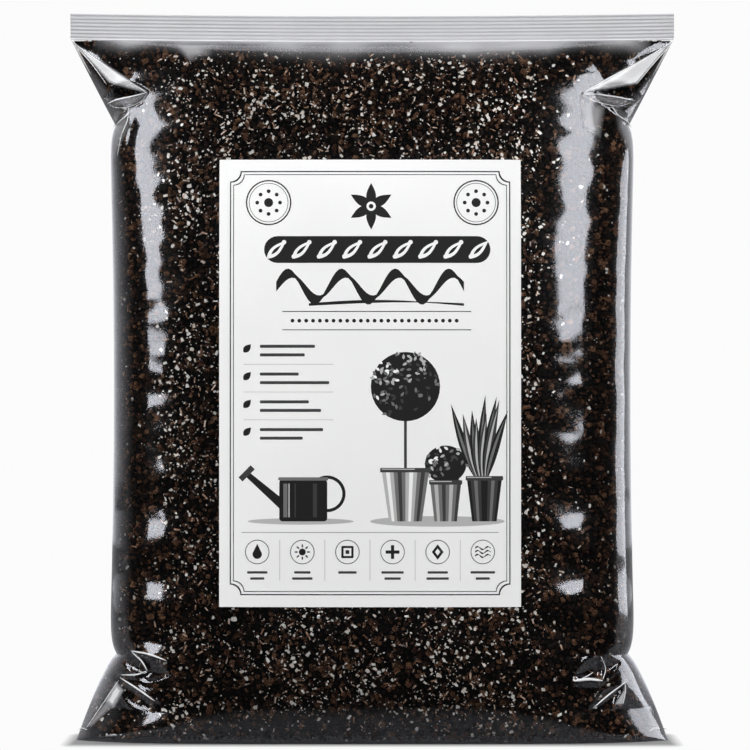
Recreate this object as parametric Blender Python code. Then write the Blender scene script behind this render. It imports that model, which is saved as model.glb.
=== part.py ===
"""Clear pillow pack of potting compost that stands on its flattened base.

Three pieces: the film bag with its crimped top seal, the compost inside it and the paper label on its front.
Metres, +Z up, the front faces -Y. The origin is the centre of the base.
"""

import math

import bmesh
import bpy
from mathutils import Vector, noise

# Film bag
FILM_WIDTH = 0.300           # the tube laid flat, which is the seal's length
BAG_HEIGHT = 0.361
FILM_WALL = 0.0001
BODY_WIDTH = 0.2565          # at the waist, half way up
BODY_SPREAD = 0.0045         # what the body gains in width from its waist to its ends
BODY_DEPTH = 0.088
DEPTH_HEIGHT = 0.175         # above this height the front and back lean in to the seal

# Crimped seal along the top
SEAL_HEIGHT = 0.0125
SEAL_THICKNESS = 0.00025
SEAL_SAG = 0.0013            # the middle of the seal hangs this much below its ends
RIB_COUNT = 7
RIB_RISE = 0.0003            # each rib leans this far to the front or to the back
SEAL_CREASE = 0.0013         # the two films part this far below the seal

# Flattened base
BASE_WIDTH = 0.294           # from corner tip to corner tip
BASE_DEPTH = 0.070
BASE_SPREAD_HEIGHT = 0.060   # the base swells to the body's depth over this height
BASE_ROUND = 0.004           # rounding where the sides meet the base

# Waists where the corners fold away from the body
UPPER_NOTCH_HEIGHT = 0.305
UPPER_NOTCH_WIDTH = 0.255
LOWER_NOTCH_HEIGHT = 0.043
LOWER_NOTCH_WIDTH = 0.2535
NOTCH_REACH = 0.006

# Tucks, eye-shaped folds in the film at each corner, on the front and on the back.
# The middle of each lies inward of its notch by its inset, and above or below the notch.
UPPER_TUCK_INSET = 0.0055
UPPER_TUCK_RISE = 0.0155
UPPER_TUCK_SIZE = (0.0230, 0.0150)
UPPER_TUCK_DEPTH = 0.0060
UPPER_TUCK_TURN = math.radians(-8.0)
LOWER_TUCK_INSET = 0.01575
LOWER_TUCK_DROP = 0.0060
LOWER_TUCK_SIZE = (0.0240, 0.0140)
LOWER_TUCK_DEPTH = 0.0050
LOWER_TUCK_TURN = math.radians(14.0)
FOOT_TUCK_INSET = 0.01075
FOOT_TUCK_DROP = 0.0210
FOOT_TUCK_SIZE = (0.0220, 0.0090)
FOOT_TUCK_DEPTH = 0.0028
FOOT_TUCK_TURN = math.radians(36.0)

# Vent punched high in the back, which lets the compost breathe
VENT_DIAMETER = 0.003
VENT_DROP = 0.005            # its centre below the upper notches
VENT_SIDES = 12

# Compost fill
FILL_CLEARANCE = 0.0003      # to the front, back and floor of the film
FILL_SIDE_GAP = 0.0050       # the film stands off the fill along both sides
FILL_TUCK_ROOM = 0.0060      # round each tuck
FILL_HEADSPACE = 0.0085      # from the fill's top to the seal
FILL_CREST_DEPTH = 0.0060
LUMP_RELIEF = 0.0016         # from the tops of the compost's lumps to the hollows between them
LUMP_SPACING = 0.017
LUMP_SIDE_ONSET = 8          # power: how far round to the sides the lumps start to dent the width

# Paper label on the front
LABEL_WIDTH = 0.148
LABEL_HEIGHT = 0.2195
LABEL_BOTTOM = 0.0677
LABEL_CENTRE_X = -0.0010
LABEL_THICKNESS = 0.00015
LABEL_CLEARANCE = 0.0003

# Shape of the curves, as powers: 2 is round, more is squarer, 1 is straight
BODY_SQUARENESS = 3.0        # cross-section of the body
CORNER_SQUARENESS = 5.5      # cross-section at the seal and at the base
CORNER_POINT = 0.85          # how straight the cross-section runs to its tips there
POINT_ONSET = 1.6            # how soon past a notch the tips turn pointed
SHOULDER_FULLNESS = 2.9      # front and back on their way to the seal
SHOULDER_CLOSING = 0.72
FOOT_FLARE = 0.75            # outline of the lower corners
FOOT_SWELL = 4               # front and back on their way up from the base
FILL_SIDE_SQUARENESS = 14
TUCK_FLOOR = 0.25            # no tuck leaves less than this share of the pack's depth
FILL_FLOOR = 0.1             # nor the fill's clearance less than this share of the fill's

# Mesh spacing
QUARTER_COLUMNS = 12
LABEL_COLUMNS = 10
LABEL_ROWS = 12
FOOT_ROWS = 12
BODY_ROWS = 11
SHOULDER_ROWS = 14
CORNER_BAND = 0.010          # the closer rows of a corner go on this far past its notch
FILL_STEP = 0.0085           # the fill's rows and columns are no further apart than this
ROUNDING_TURNS = (0.0, 35.0, 60.0)   # degrees round the base's edge

SEAL_BOTTOM = BAG_HEIGHT - SEAL_HEIGHT
UPPER_NOTCH_X = 0.5 * UPPER_NOTCH_WIDTH
LOWER_NOTCH_X = 0.5 * LOWER_NOTCH_WIDTH
UPPER_TUCK_CENTRE = (UPPER_NOTCH_X - UPPER_TUCK_INSET, UPPER_NOTCH_HEIGHT + UPPER_TUCK_RISE)
LOWER_TUCK_CENTRE = (LOWER_NOTCH_X - LOWER_TUCK_INSET, LOWER_NOTCH_HEIGHT - LOWER_TUCK_DROP)
FOOT_TUCK_CENTRE = (LOWER_NOTCH_X - FOOT_TUCK_INSET, LOWER_NOTCH_HEIGHT - FOOT_TUCK_DROP)

TUCKS = (
    (UPPER_TUCK_CENTRE, UPPER_TUCK_SIZE, UPPER_TUCK_DEPTH, UPPER_TUCK_TURN),
    (LOWER_TUCK_CENTRE, LOWER_TUCK_SIZE, LOWER_TUCK_DEPTH, LOWER_TUCK_TURN),
    (FOOT_TUCK_CENTRE, FOOT_TUCK_SIZE, FOOT_TUCK_DEPTH, FOOT_TUCK_TURN),
)


def clamp(value, low=0.0, high=1.0):
    """The value held between two limits."""
    return max(low, min(high, value))


def blend(start, end, share):
    """The value a share of the way from start to end."""
    return start + (end - start) * share


def corner_share(z):
    """1 at the seal and at the base, 0 along the body between the notches."""
    if z > UPPER_NOTCH_HEIGHT:
        return clamp((z - UPPER_NOTCH_HEIGHT) / (SEAL_BOTTOM - UPPER_NOTCH_HEIGHT))
    return clamp(1.0 - z / LOWER_NOTCH_HEIGHT)


def half_width(z):
    """Half the pack's width at a height: upper corner, body or lower corner."""
    share = corner_share(z)
    if z >= UPPER_NOTCH_HEIGHT:
        return 0.5 * blend(UPPER_NOTCH_WIDTH, FILM_WIDTH, share)
    if z <= LOWER_NOTCH_HEIGHT:
        return 0.5 * blend(LOWER_NOTCH_WIDTH, BASE_WIDTH, share ** FOOT_FLARE)
    middle = 0.5 * (UPPER_NOTCH_HEIGHT + LOWER_NOTCH_HEIGHT)
    from_middle = (z - middle) / (UPPER_NOTCH_HEIGHT - middle)
    body = BODY_WIDTH + BODY_SPREAD * from_middle ** 2
    upper = math.exp((z - UPPER_NOTCH_HEIGHT) / NOTCH_REACH)
    lower = math.exp((LOWER_NOTCH_HEIGHT - z) / NOTCH_REACH)
    width = body - (body - UPPER_NOTCH_WIDTH) * upper - (body - LOWER_NOTCH_WIDTH) * lower
    return 0.5 * width


def middle_depth(z):
    """Half the pack's depth on its centre line."""
    base_share = clamp(z / BASE_SPREAD_HEIGHT)
    depth = blend(BASE_DEPTH, BODY_DEPTH, 1.0 - (1.0 - base_share) ** FOOT_SWELL)
    rounding = clamp(1.0 - z / BASE_ROUND)
    depth -= 2.0 * BASE_ROUND * (1.0 - math.sqrt(1.0 - rounding ** 2))
    lean = clamp((z - DEPTH_HEIGHT) / (SEAL_BOTTOM - DEPTH_HEIGHT))
    depth *= (1.0 - lean ** SHOULDER_FULLNESS) ** SHOULDER_CLOSING
    return 0.5 * max(depth, SEAL_THICKNESS)


def tuck_depth(x, z, room):
    """How far the folded corners draw the film in at a point, with room round them for what lies behind."""
    depth = 0.0
    for centre, size, deepest, turn in TUCKS:
        across = abs(x) - centre[0]
        up = z - centre[1]
        along = (across * math.cos(turn) + up * math.sin(turn)) / (0.5 * size[0] + room)
        if abs(along) >= 1.0:
            continue
        opening = (0.5 * size[1] + room) * (1.0 - along ** 2)
        off = abs(up * math.cos(turn) - across * math.sin(turn)) / opening
        depth += (deepest + room) * (1.0 - along ** 2) * clamp(1.0 - off)
    return depth


def half_depth(x, z, room=0.0):
    """Half the pack's depth at a point of the front: blunt along the body, pointed at the corners."""
    share = corner_share(z)
    outward = clamp(abs(x) / half_width(z))
    full = blend(BODY_SQUARENESS, CORNER_SQUARENESS, share)
    point = blend(1.0 / BODY_SQUARENESS, CORNER_POINT, clamp(POINT_ONSET * share))
    depth = middle_depth(z) * (1.0 - outward ** full) ** point
    return max(depth - tuck_depth(x, z, room), TUCK_FLOOR * depth)


def sag(fraction, z):
    """How far a point hangs down with the middle of the seal."""
    share = clamp((z - UPPER_NOTCH_HEIGHT) / (SEAL_BOTTOM - UPPER_NOTCH_HEIGHT))
    return SEAL_SAG * share ** 2 * (1.0 - fraction ** 2)


def column_fractions():
    """Places across the width from -1 to 1, closer together towards the round sides."""
    steps = range(2 * QUARTER_COLUMNS + 1)
    cosines = [math.cos(math.pi * step / (2 * QUARTER_COLUMNS)) for step in steps]
    return [-math.copysign(abs(cosine) ** (2.0 / BODY_SQUARENESS), cosine) for cosine in cosines]


def spaced(start, end, count):
    """Heights from start up to but not including end."""
    return [blend(start, end, step / count) for step in range(count)]


def body_heights():
    """Rows of the bag below its seal, closer together at the folded corners."""
    rounding = [BASE_ROUND * (1.0 - math.cos(math.radians(turn))) for turn in ROUNDING_TURNS]
    foot_end = LOWER_NOTCH_HEIGHT + CORNER_BAND
    shoulder = UPPER_NOTCH_HEIGHT - CORNER_BAND
    crest = SEAL_BOTTOM - SEAL_CREASE
    heights = rounding + spaced(BASE_ROUND, foot_end, FOOT_ROWS) + spaced(foot_end, shoulder, BODY_ROWS)
    return heights + spaced(shoulder, crest, SHOULDER_ROWS) + [crest]


def ring(front, fractions):
    """A loop of points round the pack from a function of the place across and the side."""
    points = [front(fraction, -1.0) for fraction in fractions]
    return points + [front(fraction, 1.0) for fraction in reversed(fractions[1:-1])]


def skin_ring(z, inset, fractions):
    """A loop of the film's outer skin, or of its inner skin when it has an inset."""
    def front(fraction, side):
        x = half_width(z) * fraction
        y = max(half_depth(x, z) - inset, 0.0)
        reach = (half_width(z) - inset) / half_width(z) if abs(fraction) > 0.99 else 1.0
        return (x * reach, side * y, max(z, inset) - sag(fraction, z))

    return ring(front, fractions)


def seal_ring(step, fractions):
    """A loop of the crimped seal, which leans to the front and to the back by turns."""
    z = SEAL_BOTTOM + SEAL_HEIGHT * step / (2 * RIB_COUNT)
    lean = RIB_RISE * math.sin(0.5 * math.pi * step) if step % 2 else 0.0

    def front(fraction, side):
        thickness = 0.5 * SEAL_THICKNESS * (0.0 if abs(fraction) == 1.0 else 1.0)
        return (0.5 * FILM_WIDTH * fraction, lean + side * thickness, z - sag(fraction, SEAL_BOTTOM))

    return ring(front, fractions)


def fill_ring(z, fractions):
    """A loop of the compost, which keeps its clearance to the film all round."""
    floor = FILM_WALL + FILL_CLEARANCE
    lift = floor * clamp(1.0 - z / (2.0 * BASE_ROUND))

    def front(fraction, side):
        x = (half_width(z) - FILL_SIDE_GAP) * fraction
        depth = half_depth(x, z, FILL_TUCK_ROOM)
        y = max(depth - floor, FILL_FLOOR * depth)
        end = (1.0 - abs(fraction) ** FILL_SIDE_SQUARENESS) ** (1.0 / BODY_SQUARENESS)
        return (x, side * y * end, z + lift - sag(fraction, z))

    return ring(front, fractions)


def add_rings(mesh, rings, outward=True):
    """Walls through a stack of loops, and the vertices of the first and last loop.

    Every quad is split along the same diagonal, so the film's inner skin stays parallel to its outer skin.
    """
    rows = [[mesh.verts.new(point) for point in loop] for loop in rings]
    for lower, upper in zip(rows, rows[1:]):
        for index in range(len(lower)):
            after = (index + 1) % len(lower)
            for corners in ([lower[index], lower[after], upper[after]],
                            [lower[index], upper[after], upper[index]]):
                mesh.faces.new(corners if outward else corners[::-1])
    return rows[0], rows[-1]


def add_cap(mesh, loop, upward=True):
    """A lid across a loop, made of strips from its front to its back."""
    half = len(loop) // 2
    front = loop[:half + 1]
    back = [loop[0]] + loop[:half - 1:-1]
    for index in range(half):
        corners = []
        for vertex in (front[index], front[index + 1], back[index + 1], back[index]):
            if vertex not in corners:
                corners.append(vertex)
        mesh.faces.new(corners if upward else corners[::-1])


def add_object(name, mesh, material):
    """An object made from a bmesh, smooth over its gentle bends."""
    data = bpy.data.meshes.new(name)
    mesh.to_mesh(data)
    mesh.free()
    data.shade_smooth()
    data.set_sharp_from_angle(angle=math.radians(35.0))
    data.materials.append(material)
    piece = bpy.data.objects.new(name, data)
    bpy.context.scene.collection.objects.link(piece)
    return piece


def add_material(name, colour, roughness, alpha=1.0):
    """A plain non-metallic finish."""
    material = bpy.data.materials.new(name)
    material.use_nodes = True
    shader = material.node_tree.nodes["Principled BSDF"]
    shader.inputs["Base Color"].default_value = (*colour, 1.0)
    shader.inputs["Roughness"].default_value = roughness
    shader.inputs["Metallic"].default_value = 0.0
    shader.inputs["Alpha"].default_value = alpha
    material.diffuse_color = (*colour, alpha)
    return material


def make_film_bag(fractions):
    """The film: outer skin, seal and inner skin as one shell with a vent in its back."""
    mesh = bmesh.new()
    heights = body_heights()
    outer = [skin_ring(z, 0.0, fractions) for z in heights]
    outer += [seal_ring(step, fractions) for step in range(2 * RIB_COUNT + 1)]
    base, top = add_rings(mesh, outer)
    add_cap(mesh, base, upward=False)
    add_cap(mesh, top)

    inner = [skin_ring(z, FILM_WALL, fractions) for z in heights]
    floor, roof = add_rings(mesh, inner, outward=False)
    add_cap(mesh, floor)
    add_cap(mesh, roof, upward=False)

    clear_film = add_material("clear_film", (0.72, 0.73, 0.76), 0.12, 0.25)
    bag = add_object("film_bag", mesh, clear_film)
    cut_vent(bag)
    return bag


def cut_vent(bag):
    """A small round hole through the back wall, high on the centre line."""
    height = UPPER_NOTCH_HEIGHT - VENT_DROP
    wall_y = half_depth(0.0, height)
    bpy.ops.mesh.primitive_cylinder_add(
        vertices=VENT_SIDES,
        radius=0.5 * VENT_DIAMETER,
        depth=4.0 * VENT_DIAMETER,
        location=(0.0, wall_y, height),
        rotation=(math.radians(90.0), 0.0, 0.0),
    )
    cutter = bpy.context.object
    cutter.name = "vent_cutter"
    cutter.hide_render = True
    cutter.display_type = "WIRE"
    cut = bag.modifiers.new("vent", "BOOLEAN")
    cut.operation = "DIFFERENCE"
    cut.solver = "EXACT"
    cut.object = cutter


def fill_fractions(fractions):
    """Places across the fill: the film's own, with more between those that lie far apart."""
    places = []
    for start, end in zip(fractions, fractions[1:]):
        count = math.ceil(0.5 * BODY_WIDTH * (end - start) / FILL_STEP)
        places += spaced(start, end, count)
    return places + [fractions[-1]]


def fill_rows(rings):
    """The fill's loops with more between those that lie far apart, on straight lines from loop to loop."""
    rows = []
    for lower, upper in zip(rings, rings[1:]):
        count = max(1, math.ceil((upper[0][2] - lower[0][2]) / FILL_STEP))
        for step in range(count):
            rows.append([Vector(start).lerp(Vector(end), step / count) for start, end in zip(lower, upper)])
    return rows + [rings[-1]]


def press_lumps(loop):
    """A loop of the fill moved in at the hollows between the compost's lumps."""
    points = []
    for x, y, z in loop:
        lump = noise.noise(Vector((x, y, z)) * (2.0 / LUMP_SPACING))
        hollow = LUMP_RELIEF * clamp(0.5 - lump)
        dent = hollow * (abs(x) / half_width(z)) ** LUMP_SIDE_ONSET
        depth = max(abs(y) - hollow, FILL_FLOOR * abs(y))
        points.append((x - math.copysign(dent, x), math.copysign(depth, y), z))
    return points


def make_compost_fill(fractions):
    """The compost: one lumpy solid that follows the bag's inside, with a low crest under the seal."""
    mesh = bmesh.new()
    places = fill_fractions(fractions)
    top = SEAL_BOTTOM - FILL_HEADSPACE
    rings = [fill_ring(z, places) for z in body_heights() if z < top - 0.5 * FILL_CREST_DEPTH]
    rows = [press_lumps(loop) for loop in fill_rows(rings)]
    crest = fill_ring(top, places)
    flatten = FILL_CREST_DEPTH / (2.0 * half_depth(0.0, top))
    rows.append([(x, y * flatten, z) for x, y, z in crest])
    floor, lid = add_rings(mesh, rows)
    add_cap(mesh, floor, upward=False)
    add_cap(mesh, lid)
    compost = add_material("potting_compost", (0.024, 0.015, 0.010), 0.95)
    return add_object("compost_fill", mesh, compost)


def make_front_label():
    """The label: a thin sheet that follows the front of the film."""
    mesh = bmesh.new()

    def sheet(stand_off):
        rows = []
        for row in range(LABEL_ROWS + 1):
            z = LABEL_BOTTOM + LABEL_HEIGHT * row / LABEL_ROWS
            places = [LABEL_CENTRE_X + LABEL_WIDTH * (column / LABEL_COLUMNS - 0.5)
                      for column in range(LABEL_COLUMNS + 1)]
            rows.append([mesh.verts.new((x, -half_depth(x, z) - stand_off, z)) for x in places])
        return rows

    back = sheet(LABEL_CLEARANCE)
    front = sheet(LABEL_CLEARANCE + LABEL_THICKNESS)
    for row in range(LABEL_ROWS):
        for column in range(LABEL_COLUMNS):
            for rows, outward in ((front, True), (back, False)):
                corners = [rows[row][column], rows[row][column + 1],
                           rows[row + 1][column + 1], rows[row + 1][column]]
                mesh.faces.new(corners if outward else corners[::-1])
    rims = []
    for rows in (front, back):
        right = [line[-1] for line in rows[1:]]
        left = [line[0] for line in rows[-2:0:-1]]
        rims.append(rows[0] + right + rows[-1][-2::-1] + left)
    front_rim, back_rim = rims
    for index in range(len(front_rim)):
        after = (index + 1) % len(front_rim)
        mesh.faces.new([front_rim[after], front_rim[index], back_rim[index], back_rim[after]])
    paper = add_material("label_paper", (0.88, 0.88, 0.87), 0.45)
    return add_object("front_label", mesh, paper)


def main():
    for old in list(bpy.data.objects):
        bpy.data.objects.remove(old, do_unlink=True)
    fractions = column_fractions()
    make_film_bag(fractions)
    make_compost_fill(fractions)
    make_front_label()


main()
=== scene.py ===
"""The looks of a compost bag: clear pillow-pack film, the crumbly compost behind it and a printed paper label.

Metres, +Z up. The bag stands on z = 0 and its labelled front faces -Y.
"""

import math

import bmesh
import bpy
import numpy as np
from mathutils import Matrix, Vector, noise
from mathutils.geometry import delaunay_2d_cdt


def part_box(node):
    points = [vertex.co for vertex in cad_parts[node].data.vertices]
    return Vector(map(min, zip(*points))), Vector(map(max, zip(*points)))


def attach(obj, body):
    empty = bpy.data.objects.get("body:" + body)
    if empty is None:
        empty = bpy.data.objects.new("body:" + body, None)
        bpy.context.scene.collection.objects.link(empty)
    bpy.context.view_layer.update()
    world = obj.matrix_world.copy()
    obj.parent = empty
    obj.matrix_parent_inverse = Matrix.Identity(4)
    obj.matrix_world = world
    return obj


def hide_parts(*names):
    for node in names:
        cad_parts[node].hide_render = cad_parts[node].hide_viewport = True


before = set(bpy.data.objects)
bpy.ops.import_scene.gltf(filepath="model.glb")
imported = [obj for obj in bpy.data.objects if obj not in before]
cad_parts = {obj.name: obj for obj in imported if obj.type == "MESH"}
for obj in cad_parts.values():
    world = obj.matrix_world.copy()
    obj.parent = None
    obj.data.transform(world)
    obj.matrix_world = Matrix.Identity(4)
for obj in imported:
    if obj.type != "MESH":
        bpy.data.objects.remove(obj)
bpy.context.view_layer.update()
bag_low, bag_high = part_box("film_bag")
fill_low, fill_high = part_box("compost_fill")
label_low, label_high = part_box("front_label")

# Film bag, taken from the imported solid
FILM_WIDTH = bag_high.x - bag_low.x
BAG_HEIGHT = bag_high.z
BODY_DEPTH = bag_high.y - bag_low.y
SEAL_HEIGHT = 0.0125
SEAL_THICKNESS = 0.00025
SEAL_SAG = 0.0013
SEAL_BOTTOM = BAG_HEIGHT - SEAL_HEIGHT
RIB_COUNT = 7
RIB_RISE = 0.00016
BODY_WIDTH = 0.2565
BODY_SPREAD = 0.0045
DEPTH_HEIGHT = 0.175
BASE_WIDTH = 0.294
BASE_DEPTH = 0.070
BASE_SPREAD_HEIGHT = 0.060
BASE_ROUND = 0.004
UPPER_NOTCH_HEIGHT = 0.305
UPPER_NOTCH_WIDTH = 0.255
LOWER_NOTCH_HEIGHT = 0.043
LOWER_NOTCH_WIDTH = 0.2535
NOTCH_REACH = 0.006
BODY_SQUARENESS = 3.0
CORNER_SQUARENESS = 5.5
CORNER_POINT = 0.85
POINT_ONSET = 1.6
SHOULDER_FULLNESS = 2.9
SHOULDER_CLOSING = 0.72
FOOT_FLARE = 0.75
FOOT_SWELL = 4

# Label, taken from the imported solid
LABEL_MIDDLE = 0.5 * (label_low.x + label_high.x)
LABEL_HALF = 0.5 * (label_high.x - label_low.x)
LABEL_BOTTOM = label_low.z
LABEL_TOP = label_high.z
LABEL_STAND_OFF = 0.00045    # its printed face to the film's smooth front
LABEL_THICKNESS = 0.00015

# The film's mesh, finer at the folded corners
FRONT_COLUMNS = 160          # from side to side on the front
BACK_COLUMNS = 84
FRONT_CENTRE_SHARE = 0.15    # the flat middle has this share of the columns its width asks for
BACK_CENTRE_SHARE = 0.42
CENTRE_REACH = 0.62
CORNER_STEP = 0.0007         # rows at the corners
BODY_STEP = 0.00145          # rows of the body
FOOT_END = 0.052
SHOULDER_START = 0.298
RIB_STEPS = 6                # rows over one rib of the seal

# Loose wrinkles beside the label: rise, how much more of it low down, waves a metre on each axis, seed
WRINKLES = (
    (0.00032, 0.0, (30.0, 30.0, 30.0), 1.0),
    (0.00026, 0.0, (42.0, 42.0, 76.0), 4.0),
    (0.00036, -0.00026, (60.0, 60.0, 110.0), 6.0),
)
VALLEY_RISE = 0.00016        # sharp valleys between them
LOW_VALLEY_RISE = 0.00014
BILLOW_RISE = 0.0004
LOOSE_TOP = 0.16             # the film is slacker below this height
LOOSE_FADE = 0.05

# Slack folds low on the sides: how high, how far apart, where one of them lies and how they slant
FOLD_RISE = 0.0005
FOLD_PITCH = 0.033
FOLD_X = 0.105
FOLD_Z = 0.110
FOLD_SLANT = 0.15
FOLD_DRIFT = 0.004

# How the compost lies in the bag
FILM_ROOM = 0.00015          # between the film and what is pressed against it
UNEVEN = 0.0007              # how much farther some crumbs stay behind
FLECK_UNEVEN = 0.00015       # the same for the flecks among them
FLECKS_LEFT = 0.098          # flecks are rare farther out than this on the left, and on the right
FLECKS_RIGHT = 0.076
FLECKS_LOW = 0.022           # and fewer below this height
CREST = SEAL_BOTTOM - 0.0016
SEAT_INSET = 0.0016          # the compost's mean surface behind the film
SIDE_GAP = 0.0056            # the film stands off along both sides
TIP_GAP_SHARE = 0.10         # what is left of that gap at the corners
TIP_GAP_ONSET = 0.20         # how far into the corners it takes to get there
CORE_INSET = 0.0036
CORE_SIDE_GAP = 0.0075
CORE_CREST = SEAL_BOTTOM - 0.0011


def linear_colour(code, alpha=1.0):
    """A linear RGBA colour from an sRGB hex value."""
    values = [int(code[place:place + 2], 16) / 255.0 for place in (1, 3, 5)]
    curved = [value / 12.92 if value <= 0.04045 else ((value + 0.055) / 1.055) ** 2.4 for value in values]
    return (*curved, alpha)


def add_node(tree, kind, sockets=(), **settings):
    """A node with its settings made and its inputs set or linked."""
    node = tree.nodes.new(kind)
    for name, value in settings.items():
        setattr(node, name, value)
    for key, value in dict(sockets).items():
        if isinstance(value, bpy.types.NodeSocket):
            tree.links.new(value, node.inputs[key])
        else:
            node.inputs[key].default_value = value
    return node


def new_material(name):
    """An empty node material, its tree and its output."""
    material = bpy.data.materials.new(name)
    material.use_nodes = True
    tree = material.node_tree
    tree.nodes.clear()
    return material, tree, add_node(tree, "ShaderNodeOutputMaterial")


def add_ramp(tree, factor, stops):
    """A colour ramp from (position, hex) stops."""
    node = add_node(tree, "ShaderNodeValToRGB", {"Fac": factor})
    ramp = node.color_ramp
    while len(ramp.elements) < len(stops):
        ramp.elements.new(0.5)
    for element, (position, code) in zip(ramp.elements, stops):
        element.position = position
        element.color = linear_colour(code)
    return node.outputs["Color"]


# The pack's form

def corner_share(z):
    """1 at the seal and at the base, 0 along the body between the notches."""
    upper = (z - UPPER_NOTCH_HEIGHT) / (SEAL_BOTTOM - UPPER_NOTCH_HEIGHT)
    lower = 1.0 - z / LOWER_NOTCH_HEIGHT
    return np.clip(np.where(z > UPPER_NOTCH_HEIGHT, upper, lower), 0.0, 1.0)


def half_width(z):
    """Half the pack's width at a height: upper corner, body or lower corner."""
    share = corner_share(z)
    middle = 0.5 * (UPPER_NOTCH_HEIGHT + LOWER_NOTCH_HEIGHT)
    body = BODY_WIDTH + BODY_SPREAD * ((z - middle) / (UPPER_NOTCH_HEIGHT - middle)) ** 2
    upper = np.exp(np.minimum(z - UPPER_NOTCH_HEIGHT, 0.0) / NOTCH_REACH)
    lower = np.exp(np.minimum(LOWER_NOTCH_HEIGHT - z, 0.0) / NOTCH_REACH)
    width = body - (body - UPPER_NOTCH_WIDTH) * upper - (body - LOWER_NOTCH_WIDTH) * lower
    shoulder = UPPER_NOTCH_WIDTH + (FILM_WIDTH - UPPER_NOTCH_WIDTH) * share
    width = np.where(z >= UPPER_NOTCH_HEIGHT, shoulder, width)
    foot = LOWER_NOTCH_WIDTH + (BASE_WIDTH - LOWER_NOTCH_WIDTH) * share ** FOOT_FLARE
    return 0.5 * np.where(z <= LOWER_NOTCH_HEIGHT, foot, width)


def middle_depth(z):
    """Half the pack's depth on its centre line."""
    base_share = np.clip(z / BASE_SPREAD_HEIGHT, 0.0, 1.0)
    depth = BASE_DEPTH + (BODY_DEPTH - BASE_DEPTH) * (1.0 - (1.0 - base_share) ** FOOT_SWELL)
    rounding = np.clip(1.0 - z / BASE_ROUND, 0.0, 1.0)
    depth = depth - 2.0 * BASE_ROUND * (1.0 - np.sqrt(1.0 - rounding ** 2))
    lean = np.clip((z - DEPTH_HEIGHT) / (SEAL_BOTTOM - DEPTH_HEIGHT), 0.0, 1.0)
    depth = depth * (1.0 - lean ** SHOULDER_FULLNESS) ** SHOULDER_CLOSING
    return 0.5 * np.maximum(depth, SEAL_THICKNESS)


def smooth_depth(x, z):
    """Half the pack's depth at a point of its front, before any fold."""
    share = corner_share(z)
    outward = np.clip(np.abs(x) / half_width(z), 0.0, 1.0)
    full = BODY_SQUARENESS + (CORNER_SQUARENESS - BODY_SQUARENESS) * share
    blunt = 1.0 / BODY_SQUARENESS
    point = blunt + (CORNER_POINT - blunt) * np.clip(POINT_ONSET * share, 0.0, 1.0)
    return middle_depth(z) * (1.0 - outward ** full) ** point


def sag(fraction, z):
    """How far a point hangs down with the middle of the seal."""
    share = np.clip((z - UPPER_NOTCH_HEIGHT) / (SEAL_BOTTOM - UPPER_NOTCH_HEIGHT), 0.0, 1.0)
    return SEAL_SAG * share ** 2 * (1.0 - fraction ** 2)


def side_fractions(columns, centre_share):
    """Places across the width from -1 to 1, even along the film but sparser on its flat middle."""
    fine = np.linspace(-1.0, 1.0, 20001)
    depth = 0.5 * BODY_DEPTH * (1.0 - np.abs(fine) ** BODY_SQUARENESS) ** (1.0 / BODY_SQUARENESS)
    step = np.hypot(np.diff(fine) * 0.5 * BODY_WIDTH, np.diff(depth))
    centre = np.abs(0.5 * (fine[1:] + fine[:-1])) < CENTRE_REACH
    travel = np.concatenate(([0.0], np.cumsum(step * np.where(centre, centre_share, 1.0))))
    return np.interp(np.linspace(0.0, travel[-1], columns + 1), travel, fine)


def ring_places(front_columns, back_columns):
    """Fractions and sides (-1 front, 1 back) once round the pack, anticlockwise from above."""
    front = side_fractions(front_columns, FRONT_CENTRE_SHARE)
    back = side_fractions(back_columns, BACK_CENTRE_SHARE)
    fractions = np.concatenate((front, back[-2:0:-1]))
    sides = np.concatenate((np.full(len(front), -1.0), np.full(len(back) - 2, 1.0)))
    return fractions, sides


def field(points, stretch, seed, octaves=1):
    """Smooth noise about -1 to 1 at points, each axis scaled by stretch in waves a metre."""
    shift = Vector((seed * 17.3, seed * 5.9, seed * 11.7))
    scale = Vector(stretch)
    flat = points.reshape(-1, 3)
    if octaves == 1:
        values = [noise.noise(Vector(point) * scale + shift) for point in flat]
    else:
        values = [noise.fractal(Vector(point) * scale + shift, 1.0, 2.0, octaves) for point in flat]
    return np.array(values).reshape(points.shape[:-1])


def ring_normals(points):
    """Outward unit normals of a grid of rings."""
    around = np.roll(points, -1, axis=1) - np.roll(points, 1, axis=1)
    up = np.gradient(points, axis=0)
    normals = np.cross(around, up)
    length = np.linalg.norm(normals, axis=2, keepdims=True)
    return normals / np.maximum(length, 1e-12)


def lid_faces(loop, fractions, front_count):
    """Triangles across a loop, from its front to its back, facing down."""
    front = list(range(front_count))
    back = [0] + list(range(len(loop) - 1, front_count - 2, -1))
    faces = []
    near = far = 0
    while near < len(front) - 1 or far < len(back) - 1:
        ahead = fractions[front[near + 1]] if near < len(front) - 1 else 2.0
        beyond = fractions[back[far + 1]] if far < len(back) - 1 else 2.0
        if ahead <= beyond:
            corners = (front[near], back[far], front[near + 1])
            near += 1
        else:
            corners = (front[near], back[far], back[far + 1])
            far += 1
        if len(set(corners)) == 3:
            faces.append(tuple(int(loop[corner]) for corner in corners))
    return faces


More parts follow.
